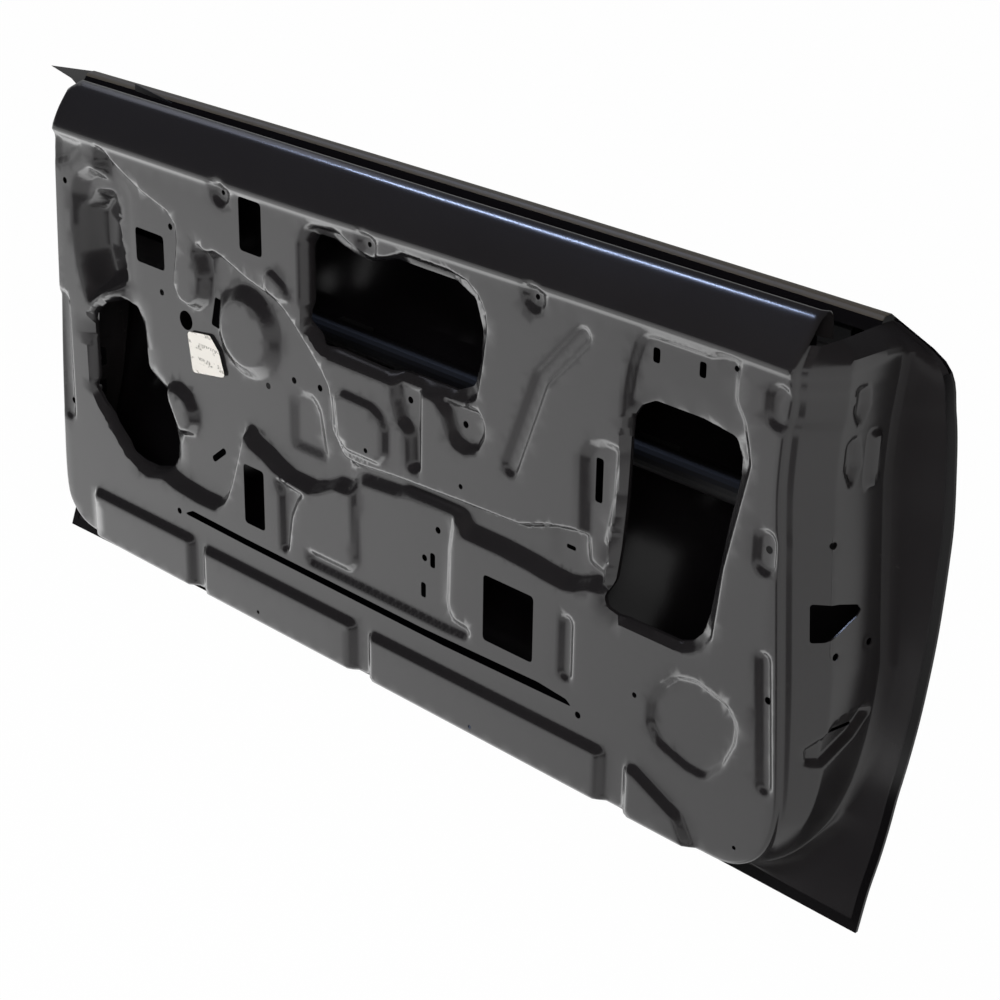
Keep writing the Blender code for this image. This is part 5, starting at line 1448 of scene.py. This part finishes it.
class DOORSHELL_OT_outer_skin(bpy.types.Operator):
    """Build the outer skin with its hem and the fold along its belt"""
    bl_idname = "doorshell.outer_skin"
    bl_label = "Outer skin"

    def execute(self, context):
        settings = context.scene.door_skin
        bm = bmesh.new()
        heights = np.linspace(skin_rows_shares[0][0], skin_rows_shares[-1][0], settings.rows)
        columns = np.linspace(0, 1, settings.columns)
        rows = []
        for v in heights:
            front, rear = (float(edge) for edge in skin_edges(np.array([v])))
            row = plan([(front + (rear - front) * share, v) for share in columns])
            rows.append([bm.verts.new((x, float(skin_y(x, z)), z)) for x, z in row])
        belt = plan([np.array(belt_front_shares) + share * (np.array(belt_rear_shares) - belt_front_shares)
                     for share in columns])
        rows.append([bm.verts.new((x, float(skin_y(x, z)), z)) for x, z in belt])
        strip(bm, rows)
        edge = [row[0] for row in rows[:0:-1]] + rows[0] + [row[-1] for row in rows[1:]]
        fold = skin_sheet + inner_sheet + 2 * hem_adhesive
        outline = np.array([(vert.co.x, vert.co.z) for vert in edge])
        below = outline[[-1, 0]] + (0, -panel_height / 3)
        lip = inset(np.vstack([outline, below]), hem_lip)
        turned = [bm.verts.new(vert.co - Vector((0, fold, 0))) for vert in edge]
        ends = [bm.verts.new((x, float(skin_y(x, z)) - fold, z)) for x, z in lip[:len(edge)]]
        hemmed = slice(hem_free_front, len(edge) - hem_free_rear)
        strip(bm, [edge[hemmed], turned[hemmed], ends[hemmed]])
        top = rows[-1]
        turns = [Vector((0, belt_fold * back, belt_rise * up)) for back, up in belt_turns]
        over = [[bm.verts.new(vert.co + turn) for vert in top] for turn in turns]
        # The fold's top faces take the olive-grey painted reflection
        strip(bm, [top] + over)
        for vert in over[1] + over[3]:
            for face in vert.link_faces:
                face.material_index = 1
        bmesh.ops.delete(bm, geom=[v for v in bm.verts if not v.link_faces], context="VERTS")
        bmesh.ops.recalc_face_normals(bm, faces=bm.faces)
        skin = finished("pressed_outer_skin", bm, finishes()[gloss_coat], ["outer_skin"])
        skin.data.materials.append(finishes()[belt_fold_painted_reflection])
        thicken(skin, skin_sheet)
        apply_modifiers(skin)
        skin.data.set_sharp_from_angle(angle=sharp_angle)
        return {"FINISHED"}


class DOORSHELL_OT_frame_finishes(bpy.types.Operator):
    """Give the reinforcements, beam, nuts, mastic and label their finishes, with near-black painted shade on the
    beam and three reinforcements deep in the door
    """
    bl_idname = "doorshell.frame_finishes"
    bl_label = "Reinforcement finishes"

    def execute(self, context):
        by_slot = {
            "e_coat": satin_coat, "gloss_coat": gloss_coat, "bare_steel": phosphate_and_painted_shade, "mastic": mastic,
            "paper": paper,
        }
        slots = {part["node"]: part["material_slot"] for part in frame["record"]["subparts"]}
        # Parts deep in the window slot get black in place of their own coat: painted shade
        painted_shade_parts = {"mirror_corner_gusset": "bare_steel", "inner_belt_reinforcement": "gloss_coat",
                  "outer_belt_reinforcement": "bare_steel"}
        for name, node in frame["nodes"].items():
            node.data.materials.clear()
            node.data.materials.append(finishes()[by_slot[painted_shade_parts.get(name, slots[name])]])
        return {"FINISHED"}


class DOORSHELL_OT_stage(bpy.types.Operator):
    """Build the floor, backdrop, lamps and camera"""
    bl_idname = "doorshell.stage"
    bl_label = "Stage"

    def execute(self, context):
        settings = context.scene.door_stage
        scene = context.scene
        low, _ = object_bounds()
        bm = bmesh.new()
        bmesh.ops.create_grid(bm, x_segments=4, y_segments=4, size=floor_reach)
        floor = linked_object("floor", bm)
        floor.location.z = low.z - settings.floor_drop
        floor.data.materials.append(studio_white("Matt white paper"))
        floor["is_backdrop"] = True
        self.light_world(scene, settings)
        for name, location, target, size, power, tint, mirrored in self.lamps(settings, floor.location.z):
            lamp = bpy.data.lights.new(name, "AREA")
            lamp.shape = "RECTANGLE"
            lamp.color = hex_colour(tint)[:3]
            lamp.energy, lamp.size, lamp.size_y = power, *size
            obj = bpy.data.objects.new(name, lamp)
            obj.location = location
            obj.rotation_euler = (Vector(target) - Vector(location)).to_track_quat("-Z", "Y").to_euler()
            obj.visible_camera = False
            obj.visible_glossy = mirrored
            scene.collection.objects.link(obj)
        self.place_camera(scene)
        scene.view_settings.view_transform = "Standard"
        return {"FINISHED"}

    def place_camera(self, scene):
        camera = bpy.data.cameras.new("camera")
        camera.sensor_width, camera.lens = camera_sensor, camera_lens
        view = bpy.data.objects.new("camera", camera)
        down, turn, roll = (math.radians(angle) for angle in (camera_down, camera_turn, camera_roll))
        forward = Vector((-math.sin(turn) * math.cos(down), math.cos(turn) * math.cos(down), -math.sin(down)))
        right = Vector((math.cos(turn), math.sin(turn), 0))
        lower = forward.cross(right)
        across = right * math.cos(roll) + lower * math.sin(roll)
        below = -right * math.sin(roll) + lower * math.cos(roll)
        matrix = Matrix((across, -below, -forward)).transposed().to_4x4()
        matrix.translation = camera_place * camera_nearness - hinge_face
        view.matrix_world = matrix
        scene.collection.objects.link(view)
        scene.camera = view

    def lamps(self, settings, floor):
        """Name, place, target, size, power, tint and whether the metal mirrors it."""
        middle, key, strip = (0.6, 0.0, -0.1), settings.key_power, settings.strip_power
        low, under = settings.low_power, floor + 0.05
        return (
            ("key_lamp", (3.4, -3.0, 2.0), middle, (2.0, 2.0), key, "FFF6EC", False),
            ("floor_lamp", (0.2, -2.6, 2.6), (0.2, -2.6, floor), (2.2, 1.2), key, "FFFFFF", False),
            ("roll_lamp", (-0.55, 0.10, 1.85), (-0.55, 0.0, 0.25), (1.25, 0.07), strip, "C4D6FF", True),
            ("front_lamp", (-1.75, 0.48, 1.85), (-1.75, 0.0, 0.25), (1.1, 0.9), strip / 7, "EDEFFF", True),
            ("low_lamp", (-1.0, -0.42, under), (-1.0, -0.42, 1.0), (3.6, 0.75), low, "FFFFFF", True),
        )

    def light_world(self, scene, settings):
        """A dark ceiling over a bright horizon, as in a studio with lamps low round the walls."""
        world = bpy.data.worlds.new("Studio")
        scene.world = world
        world.use_nodes = True
        tree = world.node_tree
        tree.nodes.clear()
        direction = add_node(tree, "ShaderNodeTexCoord").outputs["Generated"]
        height = add_node(tree, "ShaderNodeSeparateXYZ", {"Vector": direction}).outputs["Z"]
        front = ramp(tree, height, [(0.0, grey(1.0)), (0.05, grey(0.5)), (0.18, grey(0.0)), (1.0, grey(0.0))])
        back = ramp(tree, height, [(0.0, grey(0.6)), (0.42, grey(0.5)), (0.58, grey(0.0)), (1.0, grey(0.0))])
        side = measured(tree, "DOT_PRODUCT", direction, front_horizon)
        side = ranged(tree, side, 0.55, 1.0, -0.3, 0.8, "SMOOTHSTEP")
        behind = measured(tree, "DOT_PRODUCT", direction, back_horizon)
        behind = ranged(tree, behind, 0.0, 1.0, 0.1, 0.6, "SMOOTHSTEP")
        front = combined(tree, "MULTIPLY", front, side)
        back = combined(tree, "MULTIPLY", back, behind)
        level = combined(tree, "MAXIMUM", front, back)
        level = combined(tree, "MULTIPLY_ADD", level, settings.horizon_level, settings.ceiling_level)
        studio = add_node(tree, "ShaderNodeBackground", {"Color": level})
        white = add_node(tree, "ShaderNodeBackground", {"Color": hex_colour("FFFFFF"), "Strength": 1.0})
        path = add_node(tree, "ShaderNodeLightPath").outputs
        seen = combined(tree, "MAXIMUM", path["Is Camera Ray"], path["Is Transmission Ray"])
        mix = add_node(tree, "ShaderNodeMixShader", {0: seen, 1: studio.outputs[0], 2: white.outputs[0]})
        add_node(tree, "ShaderNodeOutputWorld", {"Surface": mix.outputs[0]})


class DOORSHELL_PT_panel(bpy.types.Panel):
    """Lists the door shell's pieces and their settings"""
    bl_idname = "DOORSHELL_PT_panel"
    bl_label = "Door Shell"
    bl_space_type = "VIEW_3D"
    bl_region_type = "UI"
    bl_category = "Door Shell"

    def draw(self, context):
        layout = self.layout
        for name in groups:
            group = getattr(context.scene, name)
            for key in group.__annotations__:
                layout.prop(group, key)
        for operator in operators:
            layout.operator(operator.bl_idname)


groups = {
    "door_panel": PanelSettings, "door_skin": SkinSettings, "door_finish": FinishSettings,
    "door_stage": StageSettings,
}
operators = (
    DOORSHELL_OT_inner_panel, DOORSHELL_OT_outer_skin, DOORSHELL_OT_frame_finishes, DOORSHELL_OT_stage,
)


def register():
    for group in groups.values():
        bpy.utils.register_class(group)
    for name, group in groups.items():
        setattr(bpy.types.Scene, name, PointerProperty(type=group))
    for operator in operators:
        bpy.utils.register_class(operator)
    bpy.utils.register_class(DOORSHELL_PT_panel)


def unregister():
    bpy.utils.unregister_class(DOORSHELL_PT_panel)
    for operator in reversed(operators):
        bpy.utils.unregister_class(operator)
    for name, group in groups.items():
        delattr(bpy.types.Scene, name)
        bpy.utils.unregister_class(group)


def main():
    register()
    bpy.ops.doorshell.inner_panel()
    bpy.ops.doorshell.outer_skin()
    bpy.ops.doorshell.frame_finishes()
    bpy.ops.doorshell.stage()


if __name__ == "__main__":
    main()
